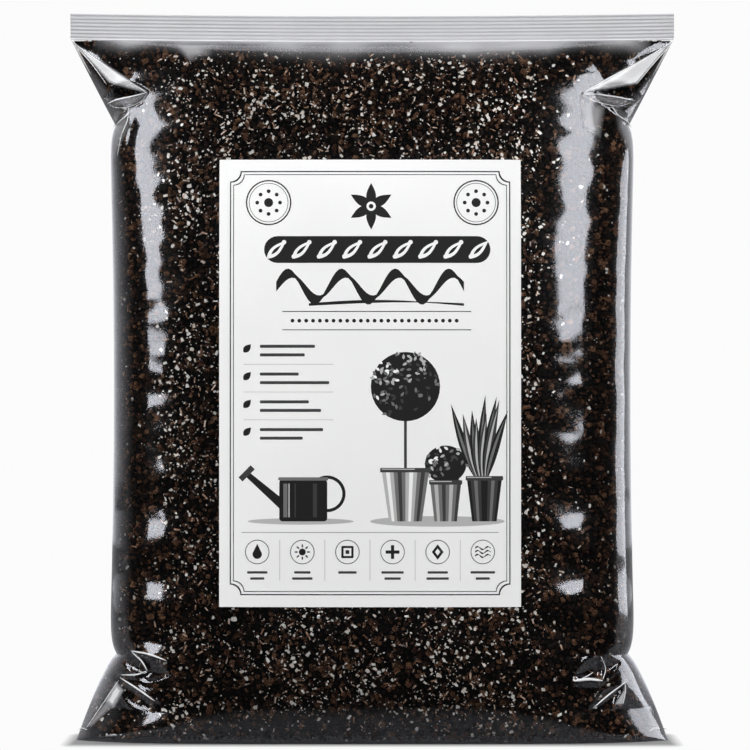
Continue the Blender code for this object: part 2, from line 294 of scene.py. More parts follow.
def grid_mesh(name, points, fractions, front_count, material, lids=True):
    """A closed mesh through a grid of rings, with a lid at its floor and one at its roof."""
    rows, columns = points.shape[:2]
    index = np.arange(rows * columns).reshape(rows, columns)
    after = np.roll(index, -1, axis=1)
    walls = np.stack((index[:-1], after[:-1], after[1:], index[1:]), axis=-1).reshape(-1, 4)
    faces = walls.tolist()
    if lids:
        faces += lid_faces(index[0], fractions, front_count)
        faces += [corners[::-1] for corners in lid_faces(index[-1], fractions, front_count)]
    data = bpy.data.meshes.new(name)
    data.from_pydata(points.reshape(-1, 3).tolist(), [], faces)
    data.materials.append(material)
    data.update()
    piece = bpy.data.objects.new(name, data)
    bpy.context.scene.collection.objects.link(piece)
    return piece


def dress(piece, node):
    """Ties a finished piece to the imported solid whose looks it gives."""
    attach(piece, "root")
    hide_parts(node)
    return piece


def set_attribute(piece, name, values):
    """A number for each vertex, which the materials read by name."""
    layer = piece.data.attributes.new(name, "FLOAT", "POINT")
    layer.data.foreach_set("value", np.ascontiguousarray(values, dtype=np.float32).ravel())


# Folds of the film, in millimetres from the centre line and the floor, on the front. The back has the same
# folds the other way round. An eye-shaped pocket lies at each corner; round it run creases, which are
# lines through points, and patches of film that the folding has drawn tight and made milky. The brightest
# of those patches are painted highlights, full white where the folds would mirror the lamps.

MM = 0.001
LIP_RISE = 0.35
# The crease edges are drawn full milky white: partly the doubled film's own whiteness, partly a painted highlight
# for the light their folded edges catch.
CREASE_MILK_AND_GLINT = 1.0
SEAL_HAZE = 0.93
VEIL_HAZE = 0.80             # just below the seal, in the middle
VEIL_REACH = 0.0058
VEIL_DRIFT = 0.0085          # how far the veil's lower edge wanders
VEIL_END = 0.139             # it stops this far from the middle
VEIL_FADE = 0.016
CLEARNESS = 0.18             # how much less milky the tight film of the lower corners is
CLEAR_TOP = 0.052            # those corners: below this height, farther out than this from the middle
CLEAR_START = 0.10
POCKETS = (
    dict(centre=(122.0, 320.3), size=(23.5, 13.0), turn=-6.0, depth=6.4, crease=-0.25),
    dict(centre=(111.0, 37.0), size=(24.0, 12.0), turn=14.0, depth=3.2, crease=-0.30),
    dict(centre=(116.0, 22.0), size=(22.0, 9.0), turn=36.0, depth=1.2, crease=0.35),
)

# Ridges: start, end, rise, fall above, fall below
RIDGES = (
    ((-149.5, 347.4), (-122.0, 326.5), 1.5, 6.0, 4.0),
    ((-121.0, 314.0), (-128.0, 304.8), 1.3, 3.0, 1.4),
    ((-121.0, 311.0), (-125.5, 288.0), 0.8, 3.5, 3.5),
    ((-119.5, 45.2), (-100.0, 40.6), 1.4, 7.0, 1.2),
    ((-119.0, 45.2), (-109.5, 34.6), 1.4, 2.2, 1.2),
    ((-110.5, 34.6), (-126.0, 32.8), 1.4, 1.4, 4.0),
    ((-125.0, 31.4), (-104.0, 20.2), 1.4, 6.0, 1.2),
    ((-125.5, 31.0), (-144.0, 4.0), 1.7, 5.0, 5.0),
    ((-148.0, 4.4), (-140.0, 5.8), 0.8, 1.4, 1.0),
    ((149.5, 347.4), (117.0, 325.5), 2.2, 16.0, 4.0),
    ((118.0, 314.5), (129.0, 304.8), 1.3, 3.0, 1.4),
    ((121.0, 311.0), (126.5, 288.0), 0.8, 3.5, 3.5),
    ((98.0, 31.2), (114.0, 30.7), 1.6, 1.8, 3.0),
    ((98.5, 31.2), (110.0, 35.6), 1.1, 1.3, 1.3),
    ((113.5, 31.0), (114.0, 44.0), 1.2, 3.0, 1.2),
    ((108.0, 17.0), (126.0, 30.4), 1.6, 5.0, 1.2),
    ((125.0, 30.0), (120.0, 19.0), 1.3, 2.0, 2.0),
    ((126.0, 29.5), (144.5, 4.5), 0.7, 4.5, 5.0),
)

# Creases: radius, points
CREASES = (
    (0.34, ((-148.5, 346.6), (-135.9, 337.2), (-124.6, 329.1), (-111.7, 321.7))),
    (0.22, ((-147.8, 345.4), (-139.4, 336.0), (-131.5, 325.2))),
    (0.22, ((-127.0, 326.3), (-121.6, 325.7), (-115.7, 323.7), (-111.2, 320.7))),
    (0.14, ((-111.2, 320.7), (-113.7, 317.3), (-119.6, 314.3), (-126.6, 313.8), (-131.0, 315.8))),
    (0.38, ((-131.5, 315.8), (-127.0, 318.0), (-119.6, 319.5), (-111.7, 321.2))),
    (0.28, ((-120.6, 313.8), (-121.1, 310.3), (-124.6, 307.4), (-127.8, 304.4))),
    (0.20, ((-120.6, 313.3), (-121.1, 307.4), (-124.1, 299.5), (-126.1, 289.6))),
    (0.50, ((-119.1, 45.5), (-109.8, 44.1), (-100.9, 41.1))),
    (0.42, ((-118.6, 45.1), (-113.6, 40.6), (-110.7, 35.8))),
    (0.38, ((-110.7, 35.8), (-116.0, 33.9), (-124.1, 33.4))),
    (0.48, ((-124.6, 32.2), (-114.7, 26.4), (-106.8, 21.0))),
    (0.24, ((-125.1, 30.7), (-132.5, 19.9), (-142.4, 5.5))),
    (0.22, ((-146.8, 5.0), (-144.3, 6.0), (-141.4, 5.5))),
    (0.34, ((148.5, 346.6), (132.3, 336.4), (118.5, 329.1), (104.6, 321.2))),
    (0.22, ((148.1, 345.4), (139.7, 336.0), (130.8, 325.2))),
    (0.22, ((104.2, 320.2), (109.6, 324.2), (116.5, 326.1), (124.4, 326.2))),
    (0.14, ((128.4, 316.3), (121.4, 314.5), (113.5, 315.8), (107.6, 317.7), (104.2, 320.2))),
    (0.38, ((130.3, 317.7), (122.4, 319.2), (113.5, 320.2), (104.6, 320.2))),
    (0.28, ((118.5, 314.8), (121.4, 310.3), (126.4, 306.9), (129.1, 304.4))),
    (0.85, ((98.7, 31.2), (106.1, 31.7), (113.5, 30.9))),
    (0.24, ((101.7, 31.7), (105.6, 33.2), (109.1, 35.2))),
    (0.24, ((113.5, 31.2), (115.0, 36.7), (112.6, 43.1))),
    (0.42, ((108.6, 17.4), (116.5, 23.8), (124.9, 29.7))),
    (0.32, ((124.9, 29.7), (124.9, 24.8), (123.9, 18.9))),
    (0.24, ((137.3, 5.0), (140.7, 6.5), (143.2, 3.1))),
)

# Milky patches, the brightest of them painted highlights: how milky, how soft their edge is, corners in order
# round the patch
MILK_AND_HIGHLIGHT_PATCHES = (
    # Painted highlight: the bright cone at the upper left corner.
    (1.00, 1.0, ((-148.0, 346.0), (-130.2, 326.8), (-127.0, 325.5), (-112.0, 321.6))),
    (0.55, 3.0, ((-98.0, 346.5), (-90.0, 338.5), (-86.5, 340.5), (-78.0, 346.5))),
    (0.32, 2.0, ((-131.0, 315.6), (-122.0, 318.6), (-112.0, 320.6), (-119.0, 315.0))),
    (0.16, 3.0, ((-149.3, 345.5), (-128.0, 304.4), (-124.1, 311.3), (-143.0, 337.5))),
    (0.30, 3.0, ((-128.5, 304.4), (-127.0, 292.6), (-121.1, 303.4), (-120.6, 313.3))),
    (0.16, 2.0, ((-132.0, 38.1), (-125.1, 31.2), (-119.6, 36.7), (-124.6, 43.1))),
    (0.10, 1.6, ((-118.6, 45.1), (-124.1, 33.2), (-110.7, 35.2))),
    # Painted highlight: the bright strip at the lower left corner, in this patch and the next.
    (1.00, 2.4, ((-126.4, 29.7), (-132.0, 20.0), (-128.0, 17.0), (-123.0, 25.8))),
    (0.55, 2.2, ((-131.0, 21.0), (-141.6, 7.0), (-139.0, 7.5), (-128.4, 17.4))),
    # Painted highlight: the bright cone at the upper right corner.
    (1.00, 1.0, ((148.0, 346.0), (104.6, 321.4), (128.0, 325.5), (131.2, 326.2))),
    (0.32, 2.0, ((130.0, 317.0), (120.0, 315.2), (105.0, 319.6), (116.0, 319.6))),
    (0.16, 3.0, ((149.3, 345.5), (143.2, 337.5), (125.4, 311.3), (129.4, 304.4))),
    (0.45, 3.4, ((104.2, 317.3), (105.1, 303.4), (111.6, 300.4), (113.6, 313.3))),
    (0.26, 3.0, ((128.9, 304.4), (121.4, 313.3), (122.4, 303.4), (127.9, 292.6))),
    # Painted highlight: the small bright triangle beside the fold at the lower right.
    (0.90, 1.2, ((119.6, 19.0), (125.4, 27.2), (123.9, 18.9))),
    (0.14, 3.0, ((126.4, 28.0), (133.3, 27.0), (145.7, 3.0), (137.3, 3.0))),
)


def ridge(x, z, start, end, rise, above, below):
    """The rise of one crease at points of the front, fading out at both its ends."""
    run = np.array(end) - np.array(start)
    length = math.hypot(*run)
    along = ((x - start[0]) * run[0] + (z - start[1]) * run[1]) / length ** 2
    off = ((z - start[1]) * run[0] - (x - start[0]) * run[1]) / length
    if run[0] < 0.0:
        off = -off
    reach = np.where(off > 0.0, above, below)
    taper = np.clip(4.0 * along * (1.0 - along), 0.0, 1.0) ** 0.6
    return rise * taper * np.clip(1.0 - np.abs(off) / reach, 0.0, 1.0)


def pocket(x, z, centre, size, turn, depth, crease):
    """The depth of a pocket: steep from its upper lip to its crease, gentle from there to its lower lip."""
    turn = math.radians(turn)
    across = x - centre[0]
    up = z - centre[1]
    along = (across * math.cos(turn) + up * math.sin(turn)) / (0.5 * size[0])
    inside = np.clip(1.0 - along ** 2, 0.0, 1.0)
    off = (up * math.cos(turn) - across * math.sin(turn)) / (0.5 * size[1] * np.maximum(inside, 1e-6))
    upper = np.clip((1.0 - off) / (1.0 - crease), 0.0, 1.0)
    lower = np.clip((1.0 + off) / (1.0 + crease), 0.0, 1.0)
    lip = np.clip(1.0 - np.abs(np.abs(off) - 1.12) / 0.40, 0.0, 1.0)
    return depth * inside ** 0.7 * np.minimum(upper, lower) ** 0.8 - LIP_RISE * np.sqrt(inside) * lip


def patch(x, z, corners):
    """How far inside a patch's outline points of the front lie, less than 0 outside it."""
    centre = np.mean(corners, axis=0)
    inside = np.full(x.shape, 1e3)
    for start, end in zip(corners, corners[1:] + corners[:1]):
        run = np.array(end) - np.array(start)
        side = math.copysign(1.0, run[0] * (centre[1] - start[1]) - run[1] * (centre[0] - start[0]))
        off = side * (run[0] * (z - start[1]) - run[1] * (x - start[0])) / math.hypot(*run)
        inside = np.minimum(inside, off)
    return inside


def folding(x, z):
    """Rise of the creases, depth of the pockets in metres and milkiness at points of the front, with the painted
    highlights among the milky patches.
    """
    x = x / MM
    z = z / MM
    rise = np.zeros_like(x)
    for line in RIDGES:
        rise = np.maximum(rise, ridge(x, z, *line))
    depth = sum(pocket(np.abs(x), z, **shape) for shape in POCKETS)
    milk_and_highlight = np.zeros_like(x)
    for strength, softness, corners in MILK_AND_HIGHLIGHT_PATCHES:
        milk_and_highlight = np.maximum(milk_and_highlight, strength * np.clip(0.5 + patch(x, z, corners) / softness, 0.0, 1.0))
    return rise * MM, depth * MM, milk_and_highlight


def label_mask(x, z, margin):
    """1 away from the label, 0 under it, with a soft edge."""
    beside = np.maximum(np.abs(x - LABEL_MIDDLE) - LABEL_HALF, 0.0)
    above = np.maximum(np.maximum(LABEL_BOTTOM - z, z - LABEL_TOP), 0.0)
    return np.clip(np.hypot(beside, above) / margin, 0.0, 1.0)


def skin_heights():
    """Rows of the film from the floor to the seal, closer together at the folded corners."""
    rounding = BASE_ROUND * (1.0 - np.cos(np.radians((0.0, 20.0, 40.0, 60.0, 75.0))))
    foot = np.arange(BASE_ROUND, FOOT_END, CORNER_STEP)
    body = np.arange(FOOT_END, SHOULDER_START, BODY_STEP)
    shoulder_rows = round((SEAL_BOTTOM - SHOULDER_START) / CORNER_STEP)
    shoulder = np.linspace(SHOULDER_START, SEAL_BOTTOM, shoulder_rows, False)
    return np.concatenate((rounding, foot, body, shoulder))


class Film:
    """The film's skin below the seal as a grid, for the bag itself and for what is pressed against it."""

    def __init__(self):
        self.heights = skin_heights()
        self.fractions, self.sides = ring_places(FRONT_COLUMNS, BACK_COLUMNS)
        self.front_count = FRONT_COLUMNS + 1
        z = self.heights[:, None] * np.ones_like(self.fractions)
        x = half_width(z) * self.fractions
        rise, drawn, self.milk_and_highlight = folding(-self.sides * x, z)
        smooth = smooth_depth(x, z)
        depth = smooth - np.minimum(drawn, 0.7 * smooth)
        points = np.stack((x, self.sides * depth, z - sag(self.fractions, z)), axis=-1)
        lift = self.ripples(points, x, z) + rise * np.clip(z / 0.004, 0.0, 1.0)
        points[..., 1] += self.sides * np.maximum(lift * np.clip(depth / 0.006, 0.0, 1.0), -0.5 * depth)
        self.points = points

    def ripples(self, points, x, z):
        """Loose wrinkles along the sides, and a slow billow, which die out at the seal, base and label."""
        under_label = np.where(self.sides < 0.0, label_mask(x, z, 0.012), 1.0)
        standing = np.clip(z / 0.006, 0.0, 1.0) * np.clip((SEAL_BOTTOM - z) / 0.010, 0.0, 1.0)
        beside = np.clip((np.abs(self.fractions) - 0.58) / 0.18, 0.0, 1.0)
        loose = np.clip((LOOSE_TOP - z) / LOOSE_FADE, 0.0, 1.0)
        slack = sum((rise + low * loose) * field(points, waves, seed) for rise, low, waves, seed in WRINKLES)
        drift = FOLD_DRIFT * field(points, (14.0, 14.0, 20.0), 7.0) + FOLD_SLANT * (np.abs(x) - FOLD_X)
        slack -= FOLD_RISE * loose * np.sin(2.0 * math.pi * (z - FOLD_Z + drift) / FOLD_PITCH)
        valleys = np.abs(field(points, (44.0, 44.0, 90.0), 2.0))
        slack -= (VALLEY_RISE + LOW_VALLEY_RISE * loose) * valleys
        billow = BILLOW_RISE * field(points, (16.0, 16.0, 22.0), 3.0)
        return (beside * slack + billow) * standing * under_label

    def depth(self, x, z, back):
        """How far the film lies from the middle plane at places on its front or back."""
        z = z + sag(np.clip(x / half_width(z), -1.0, 1.0), z)
        row = np.clip(np.interp(z, self.heights, np.arange(len(self.heights))), 0.0, len(self.heights) - 1.001)
        low = row.astype(int)
        share = row - low
        fraction = np.clip(x / half_width(np.clip(z, 0.0, SEAL_BOTTOM)), -1.0, 1.0)
        count = len(self.fractions)
        front = np.arange(self.front_count)
        rear = np.concatenate(([0], np.arange(count - 1, self.front_count - 2, -1)))
        found = np.zeros_like(x)
        for wanted, places in ((~back, front), (back, rear)):
            column = np.interp(fraction[wanted], self.fractions[places], np.arange(len(places)))
            left = np.clip(column.astype(int), 0, len(places) - 2)
            part = column - left
            depths = np.abs(self.points[..., 1][:, places])
            lower = depths[low[wanted], left] * (1.0 - part) + depths[low[wanted], left + 1] * part
            upper = depths[low[wanted] + 1, left] * (1.0 - part) + depths[low[wanted] + 1, left + 1] * part
            found[wanted] = lower * (1.0 - share[wanted]) + upper * share[wanted]
        return found


def make_film(film, material):
    """The film bag: tube, folded corners and crimped seal as one closed skin."""
    steps = np.arange(RIB_COUNT * RIB_STEPS + 1)
    seal_z = SEAL_BOTTOM + SEAL_HEIGHT * steps / steps[-1]
    lean = RIB_RISE * np.sin(2.0 * math.pi * steps / RIB_STEPS)
    tip = np.where(np.abs(film.fractions) > 0.9999, 0.0, 1.0)
    seal = np.zeros((len(steps), len(film.fractions), 3))
    seal[..., 0] = 0.5 * FILM_WIDTH * film.fractions
    seal[..., 1] = lean[:, None] + 0.5 * SEAL_THICKNESS * (film.sides * tip)
    seal[..., 2] = seal_z[:, None] - sag(film.fractions, SEAL_BOTTOM)
    points = np.concatenate((film.points, seal))
    piece = grid_mesh("film_skin", points, film.fractions, film.front_count, material)
    piece.data.shade_smooth()

    drift = field(points * (1.0, 1.0, 0.4), (20.0, 20.0, 30.0), 8.0, 3)
    below = np.maximum(SEAL_BOTTOM - points[..., 2] - VEIL_DRIFT * drift, 0.0)
    outward = np.abs(points[..., 0])
    inward = np.clip((VEIL_END - outward) / VEIL_FADE, 0.0, 1.0)
    haze_and_highlight = VEIL_HAZE * np.exp(-(below / VEIL_REACH) ** 2.2) * inward
    # The milky patches go into the same attribute, and with them the painted highlights at the corners.
    haze_and_highlight[:len(film.heights)] = np.maximum(haze_and_highlight[:len(film.heights)], film.milk_and_highlight)
    haze_and_highlight[len(film.heights):] = SEAL_HAZE
    haze_and_highlight[len(film.heights)] = 1.0
    corner = np.clip((CLEAR_TOP - points[..., 2]) / 0.010, 0.0, 1.0)
    corner = corner * np.clip((outward - CLEAR_START) / 0.02, 0.0, 1.0)
    haze_and_highlight -= CLEARNESS * corner * (1.0 - haze_and_highlight)
    set_attribute(piece, "haze_and_highlight", haze_and_highlight)
    return dress(piece, "film_bag")


def curve_through(points, steps=8):
    """Points along a smooth curve through a few given ones."""
    first, last = np.array(points[0]), np.array(points[-1])
    padded = np.array([2.0 * first - points[1], *points, 2.0 * last - points[-2]])
    curve = []
    for a, b, c, d in zip(padded, padded[1:], padded[2:], padded[3:]):
        for step in range(steps):
            t = step / steps
            curve.append(0.5 * (2 * b + (c - a) * t + (2 * a - 5 * b + 4 * c - d) * t ** 2
                                + (3 * b - a - 3 * c + d) * t ** 3))
    return np.array(curve + [padded[-2]])


def make_crease_edges(film, material):
    """The doubled edges of the creases: thin round-backed welts of film that taper out at both ends."""
    vertices = []
    faces = []
    sides = 6
    for back in (False, True):
        for radius, line in CREASES:
            route = curve_through(line) * MM
            x = -route[:, 0] if back else route[:, 0]
            side = 1.0 if back else -1.0
            y = side * film.depth(x, route[:, 1], np.full(len(x), back))
            centre = np.stack((x, y, route[:, 1]), axis=-1)
            ahead = np.gradient(centre, axis=0)
            ahead /= np.linalg.norm(ahead, axis=1, keepdims=True)
            across = np.cross(ahead, (0.0, side, 0.0))
            across /= np.linalg.norm(across, axis=1, keepdims=True)
            out = np.cross(across, ahead)
            thickness = radius * MM * (0.12 + 0.88 * np.sqrt(np.sin(np.linspace(0.0, math.pi, len(x)))))
            first = len(vertices)
            for place, wide, raised, size in zip(centre, across, out, thickness):
                for corner in range(sides):
                    turn = 2.0 * math.pi * corner / sides
                    vertices.append(place + size * (wide * math.cos(turn) + 0.7 * raised * math.sin(turn)))
            for row in range(len(x) - 1):
                for corner in range(sides):
                    after = (corner + 1) % sides
                    lower = first + row * sides
                    faces.append((lower + corner, lower + after, lower + sides + after, lower + sides + corner))
            faces.append(tuple(first + corner for corner in reversed(range(sides))))
            faces.append(tuple(first + (len(x) - 1) * sides + corner for corner in range(sides)))
    data = bpy.data.meshes.new("crease_edges")
    data.from_pydata([tuple(vertex) for vertex in vertices], [], faces)
    data.materials.append(material)
    mesh = bmesh.new()
    mesh.from_mesh(data)
    bmesh.ops.recalc_face_normals(mesh, faces=mesh.faces)
    mesh.to_mesh(data)
    mesh.free()
    data.shade_smooth()
    piece = bpy.data.objects.new("crease_edges", data)
    bpy.context.scene.collection.objects.link(piece)
    # Full milky white: partly the doubled film, partly a painted highlight along the fold edges.
    set_attribute(piece, "haze_and_highlight", np.full(len(vertices), CREASE_MILK_AND_GLINT))
    return dress(piece, "film_bag")


# Compost

def seat_points(inset, side_gap, top, rows, front_columns, back_columns):
    """A grid of rings inside the film, where the compost lies against it."""
    fractions, sides = ring_places(front_columns, back_columns)
    z = np.linspace(fill_low.z + inset, top, rows)[:, None] * np.ones_like(fractions)
    cornered = np.clip(corner_share(z) / TIP_GAP_ONSET, 0.0, 1.0)
    x = (half_width(z) - side_gap * (1.0 - (1.0 - TIP_GAP_SHARE) * cornered)) * fractions
    _, drawn, _ = folding(-sides * x, z)
    depth = smooth_depth(x, z)
    depth = np.maximum(depth - np.clip(1.25 * drawn, 0.0, 0.75 * depth) - inset, 0.04 * depth)
    depth = depth * (1.0 - np.abs(fractions) ** 16) ** (1.0 / 3.0)
    return np.stack((x, sides * depth, z - sag(fractions, z)), axis=-1), fractions


def press_in(piece, film, uneven):
    """Holds every point of a piece inside the film, as compost is pressed flat against it."""
    data = piece.data
    places = np.empty(len(data.vertices) * 3, dtype=np.float32)
    data.vertices.foreach_get("co", places)
    places = places.reshape(-1, 3).astype(float)
    places[:, 2] = np.clip(places[:, 2], 0.0006, SEAL_BOTTOM - 0.0008)
    limit = half_width(places[:, 2]) - 0.0012
    places[:, 0] = np.clip(places[:, 0], -limit, limit)
    room = FILM_ROOM + uneven * np.random.default_rng(3).random(len(places))
    reach = np.maximum(film.depth(places[:, 0], places[:, 2], places[:, 1] > 0.0) - room, 0.00005)
    places[:, 1] = np.clip(places[:, 1], -reach, reach)
    data.vertices.foreach_set("co", places.astype(np.float32).ravel())
    data.update()


def scatter_tree():
    """Chips strewn over a surface and pressed in below it, as one plain mesh with a tone for each chip."""
    tree = bpy.data.node_groups.new("compost_scatter", "GeometryNodeTree")
    tree.interface.new_socket("Geometry", in_out="INPUT", socket_type="NodeSocketGeometry")
    for name, kind in (
        ("Spacing", "Float"), ("Density", "Float"), ("Least size", "Float"), ("Largest size", "Float"),
        ("Rarity", "Float"), ("Stretch", "Vector"), ("Lift", "Float"), ("Bury", "Float"), ("Tilt", "Float"),
        ("Clumping", "Float"), ("Fading", "Float"), ("Roughness", "Float"), ("Seed", "Int"),
        ("Material", "Material"),
    ):
        tree.interface.new_socket(name, in_out="INPUT", socket_type="NodeSocket" + kind)
    tree.interface.new_socket("Geometry", in_out="OUTPUT", socket_type="NodeSocketGeometry")
    given = add_node(tree, "NodeGroupInput").outputs
    place = add_node(tree, "GeometryNodeInputPosition").outputs[0]

    clumps = add_node(tree, "ShaderNodeTexNoise", {"Vector": place, "Scale": 42.0, "Detail": 2.0})
    gathered = add_node(tree, "ShaderNodeMapRange", {
        "Value": clumps.outputs["Fac"], "From Min": 0.42, "From Max": 0.62})
    clumped = add_node(tree, "ShaderNodeMix", {0: given["Clumping"], 2: 1.0, 3: gathered.outputs[0]})
    shown = add_node(tree, "GeometryNodeInputNamedAttribute", {"Name": "flecks"}, data_type="FLOAT")
    allowed = add_node(tree, "ShaderNodeMix", {0: given["Fading"], 2: 1.0, 3: shown.outputs["Attribute"]})
    thinned = add_node(tree, "ShaderNodeMath", {
        0: clumped.outputs[0], 1: allowed.outputs[0]}, operation="MULTIPLY")
    strewn = add_node(tree, "GeometryNodeDistributePointsOnFaces", {
        "Mesh": given["Geometry"],
        "Distance Min": given["Spacing"],
        "Density Max": given["Density"],
        "Density Factor": thinned.outputs[0],
        "Seed": given["Seed"],
    }, distribute_method="POISSON")

    chance = add_node(tree, "FunctionNodeRandomValue", {2: 0.0, 3: 1.0, 8: given["Seed"]}, data_type="FLOAT")
    rare = add_node(tree, "ShaderNodeMath", {0: chance.outputs[1], 1: given["Rarity"]}, operation="POWER")
    size = add_node(tree, "ShaderNodeMix", {
        0: rare.outputs[0], 2: given["Least size"], 3: given["Largest size"]}).outputs[0]
    sunk = add_node(tree, "ShaderNodeMath", {0: size, 1: given["Bury"]}, operation="MULTIPLY")
    outward = add_node(tree, "ShaderNodeMath", {0: given["Lift"], 1: sunk.outputs[0]}, operation="SUBTRACT")
    offset = add_node(tree, "ShaderNodeVectorMath", {
        0: strewn.outputs["Normal"], "Scale": outward.outputs[0]}, operation="SCALE")
    settled = add_node(tree, "GeometryNodeSetPosition", {
        "Geometry": strewn.outputs["Points"], "Offset": offset.outputs[0]})

    most = add_node(tree, "ShaderNodeCombineXYZ", {"X": given["Tilt"], "Y": given["Tilt"], "Z": math.pi})
    least = add_node(tree, "ShaderNodeVectorMath", {0: most.outputs[0], "Scale": -1.0}, operation="SCALE")
    turned = add_node(tree, "FunctionNodeRandomValue", {
        0: least.outputs[0], 1: most.outputs[0], 8: given["Seed"]}, data_type="FLOAT_VECTOR")
    laid = add_node(tree, "FunctionNodeRotateRotation", {
        0: strewn.outputs["Rotation"], 1: turned.outputs[0]}, rotation_space="LOCAL")

    kinds = add_node(tree, "GeometryNodeJoinGeometry")
    for kind in range(4):
        block = add_node(tree, "GeometryNodeMeshCube", {"Size": (1.5, 1.5, 1.5)})
        lumps = add_node(tree, "ShaderNodeTexNoise", {
            "Vector": place, "Scale": 1.1, "Detail": 1.0, "W": 3.7 * kind}, noise_dimensions="4D")
        centred = add_node(tree, "ShaderNodeVectorMath", {
            0: lumps.outputs["Color"], 1: (0.5, 0.5, 0.5)}, operation="SUBTRACT")
        pushed = add_node(tree, "ShaderNodeVectorMath", {
            0: centred.outputs[0], "Scale": given["Roughness"]}, operation="SCALE")
        chip = add_node(tree, "GeometryNodeSetPosition", {
            "Geometry": block.outputs["Mesh"], "Offset": pushed.outputs[0]})
        single = add_node(tree, "GeometryNodeGeometryToInstance", {0: chip.outputs[0]})
        tree.links.new(single.outputs[0], kinds.inputs[0])

    scale = add_node(tree, "ShaderNodeVectorMath", {0: given["Stretch"], "Scale": size}, operation="SCALE")
    placed = add_node(tree, "GeometryNodeInstanceOnPoints", {
        "Points": settled.outputs[0],
        "Instance": kinds.outputs[0],
        "Pick Instance": True,
        "Rotation": laid.outputs[0],
        "Scale": scale.outputs[0],
    })
    tone = add_node(tree, "FunctionNodeRandomValue", {2: 0.0, 3: 1.0, 8: 77}, data_type="FLOAT")
    toned = add_node(tree, "GeometryNodeStoreNamedAttribute", {
        "Geometry": placed.outputs[0], "Name": "tone", "Value": tone.outputs[1]},
        data_type="FLOAT", domain="INSTANCE")
    real = add_node(tree, "GeometryNodeRealizeInstances", {0: toned.outputs[0]})
    coated = add_node(tree, "GeometryNodeSetMaterial", {0: real.outputs[0], "Material": given["Material"]})
    add_node(tree, "NodeGroupOutput", {0: coated.outputs[0]})
    return tree


def strew(name, seat, tree, film, uneven, **values):
    """One piece of compost: the scatter tree run on a seat surface and made a plain mesh inside the film."""
    sower = bpy.data.objects.new(name + "_seat", seat)
    bpy.context.scene.collection.objects.link(sower)
    spread = sower.modifiers.new("scatter", "NODES")
    spread.node_group = tree
    identifiers = {item.name: item.identifier for item in tree.interface.items_tree if item.in_out == "INPUT"}
    for key, value in values.items():
        spread[identifiers[key.replace("_", " ")]] = value
    view = bpy.context.evaluated_depsgraph_get()
    data = bpy.data.meshes.new_from_object(sower.evaluated_get(view))
    bpy.data.objects.remove(sower, do_unlink=True)
    data.name = name
    piece = bpy.data.objects.new(name, data)
    bpy.context.scene.collection.objects.link(piece)
    press_in(piece, film, uneven)
    return dress(piece, "compost_fill")


def seat_halves(material):
    """The compost's surface against the front, without what the label hides, and against the back."""
    rings, fractions = seat_points(SEAT_INSET, SIDE_GAP, CREST, 150, 60, 60)
    seat = grid_mesh("seat", rings, fractions, 61, material, lids=False)
    x, z = rings[..., 0], rings[..., 2]
    beside = np.clip(np.maximum(x - FLECKS_RIGHT, -FLECKS_LEFT - x) / 0.010, 0.0, 1.0)
    bare = np.maximum(beside, 0.5 * np.clip((FLECKS_LOW - z) / 0.014, 0.0, 1.0))
    set_attribute(seat, "flecks", (1.0 - 0.85 * bare) * np.clip((SEAL_BOTTOM - 0.006 - z) / 0.006, 0.0, 1.0))
    halves = {}
    for half, keep in (("front", -1.0), ("back", 1.0)):
        mesh = bmesh.new()
        mesh.from_mesh(seat.data)
        away = []
        for face in mesh.faces:
            middle = face.calc_center_median()
            hidden = abs(middle.x - LABEL_MIDDLE) < LABEL_HALF - 0.006
            hidden = hidden and LABEL_BOTTOM + 0.006 < middle.z < LABEL_TOP - 0.006 and keep < 0.0
            if middle.y * keep < 0.0 or hidden:
                away.append(face)
        bmesh.ops.delete(mesh, geom=away, context="FACES")
        halves[half] = bpy.data.meshes.new("seat_" + half)
        mesh.to_mesh(halves[half])
        mesh.free()
    bpy.data.objects.remove(seat, do_unlink=True)
    return halves


# What is strewn: piece, matter, unevenness, spacing and density on the front and back, first seed, shape
CHIPS = (
    ("compost_crumbs", "crumb", UNEVEN, (0.0020, 0.0026), (6e5, 6e5), 11, dict(
        Least_size=0.0008, Largest_size=0.0019, Rarity=1.8, Stretch=(1.0, 1.0, 0.7), Roughness=2.4,
        Lift=0.0, Bury=0.25, Tilt=3.14, Clumping=0.0, Fading=0.0)),
    ("bark_splinters", "bark", FLECK_UNEVEN, (0.0006, 0.0006), (90000.0, 50000.0), 31, dict(
        Least_size=0.00022, Largest_size=0.0008, Rarity=2.6, Stretch=(2.6, 0.6, 0.4), Roughness=1.4,
        Lift=0.0017, Bury=0.0, Tilt=0.9, Clumping=0.3, Fading=1.0)),
    ("perlite_grains", "perlite", FLECK_UNEVEN, (0.0003, 0.0003), (170000.0, 100000.0), 51, dict(
        Least_size=0.00026, Largest_size=0.0011, Rarity=3.8, Stretch=(1.1, 0.8, 0.4), Roughness=3.2,
        Lift=0.0018, Bury=0.0, Tilt=0.35, Clumping=0.8, Fading=1.0)),
)


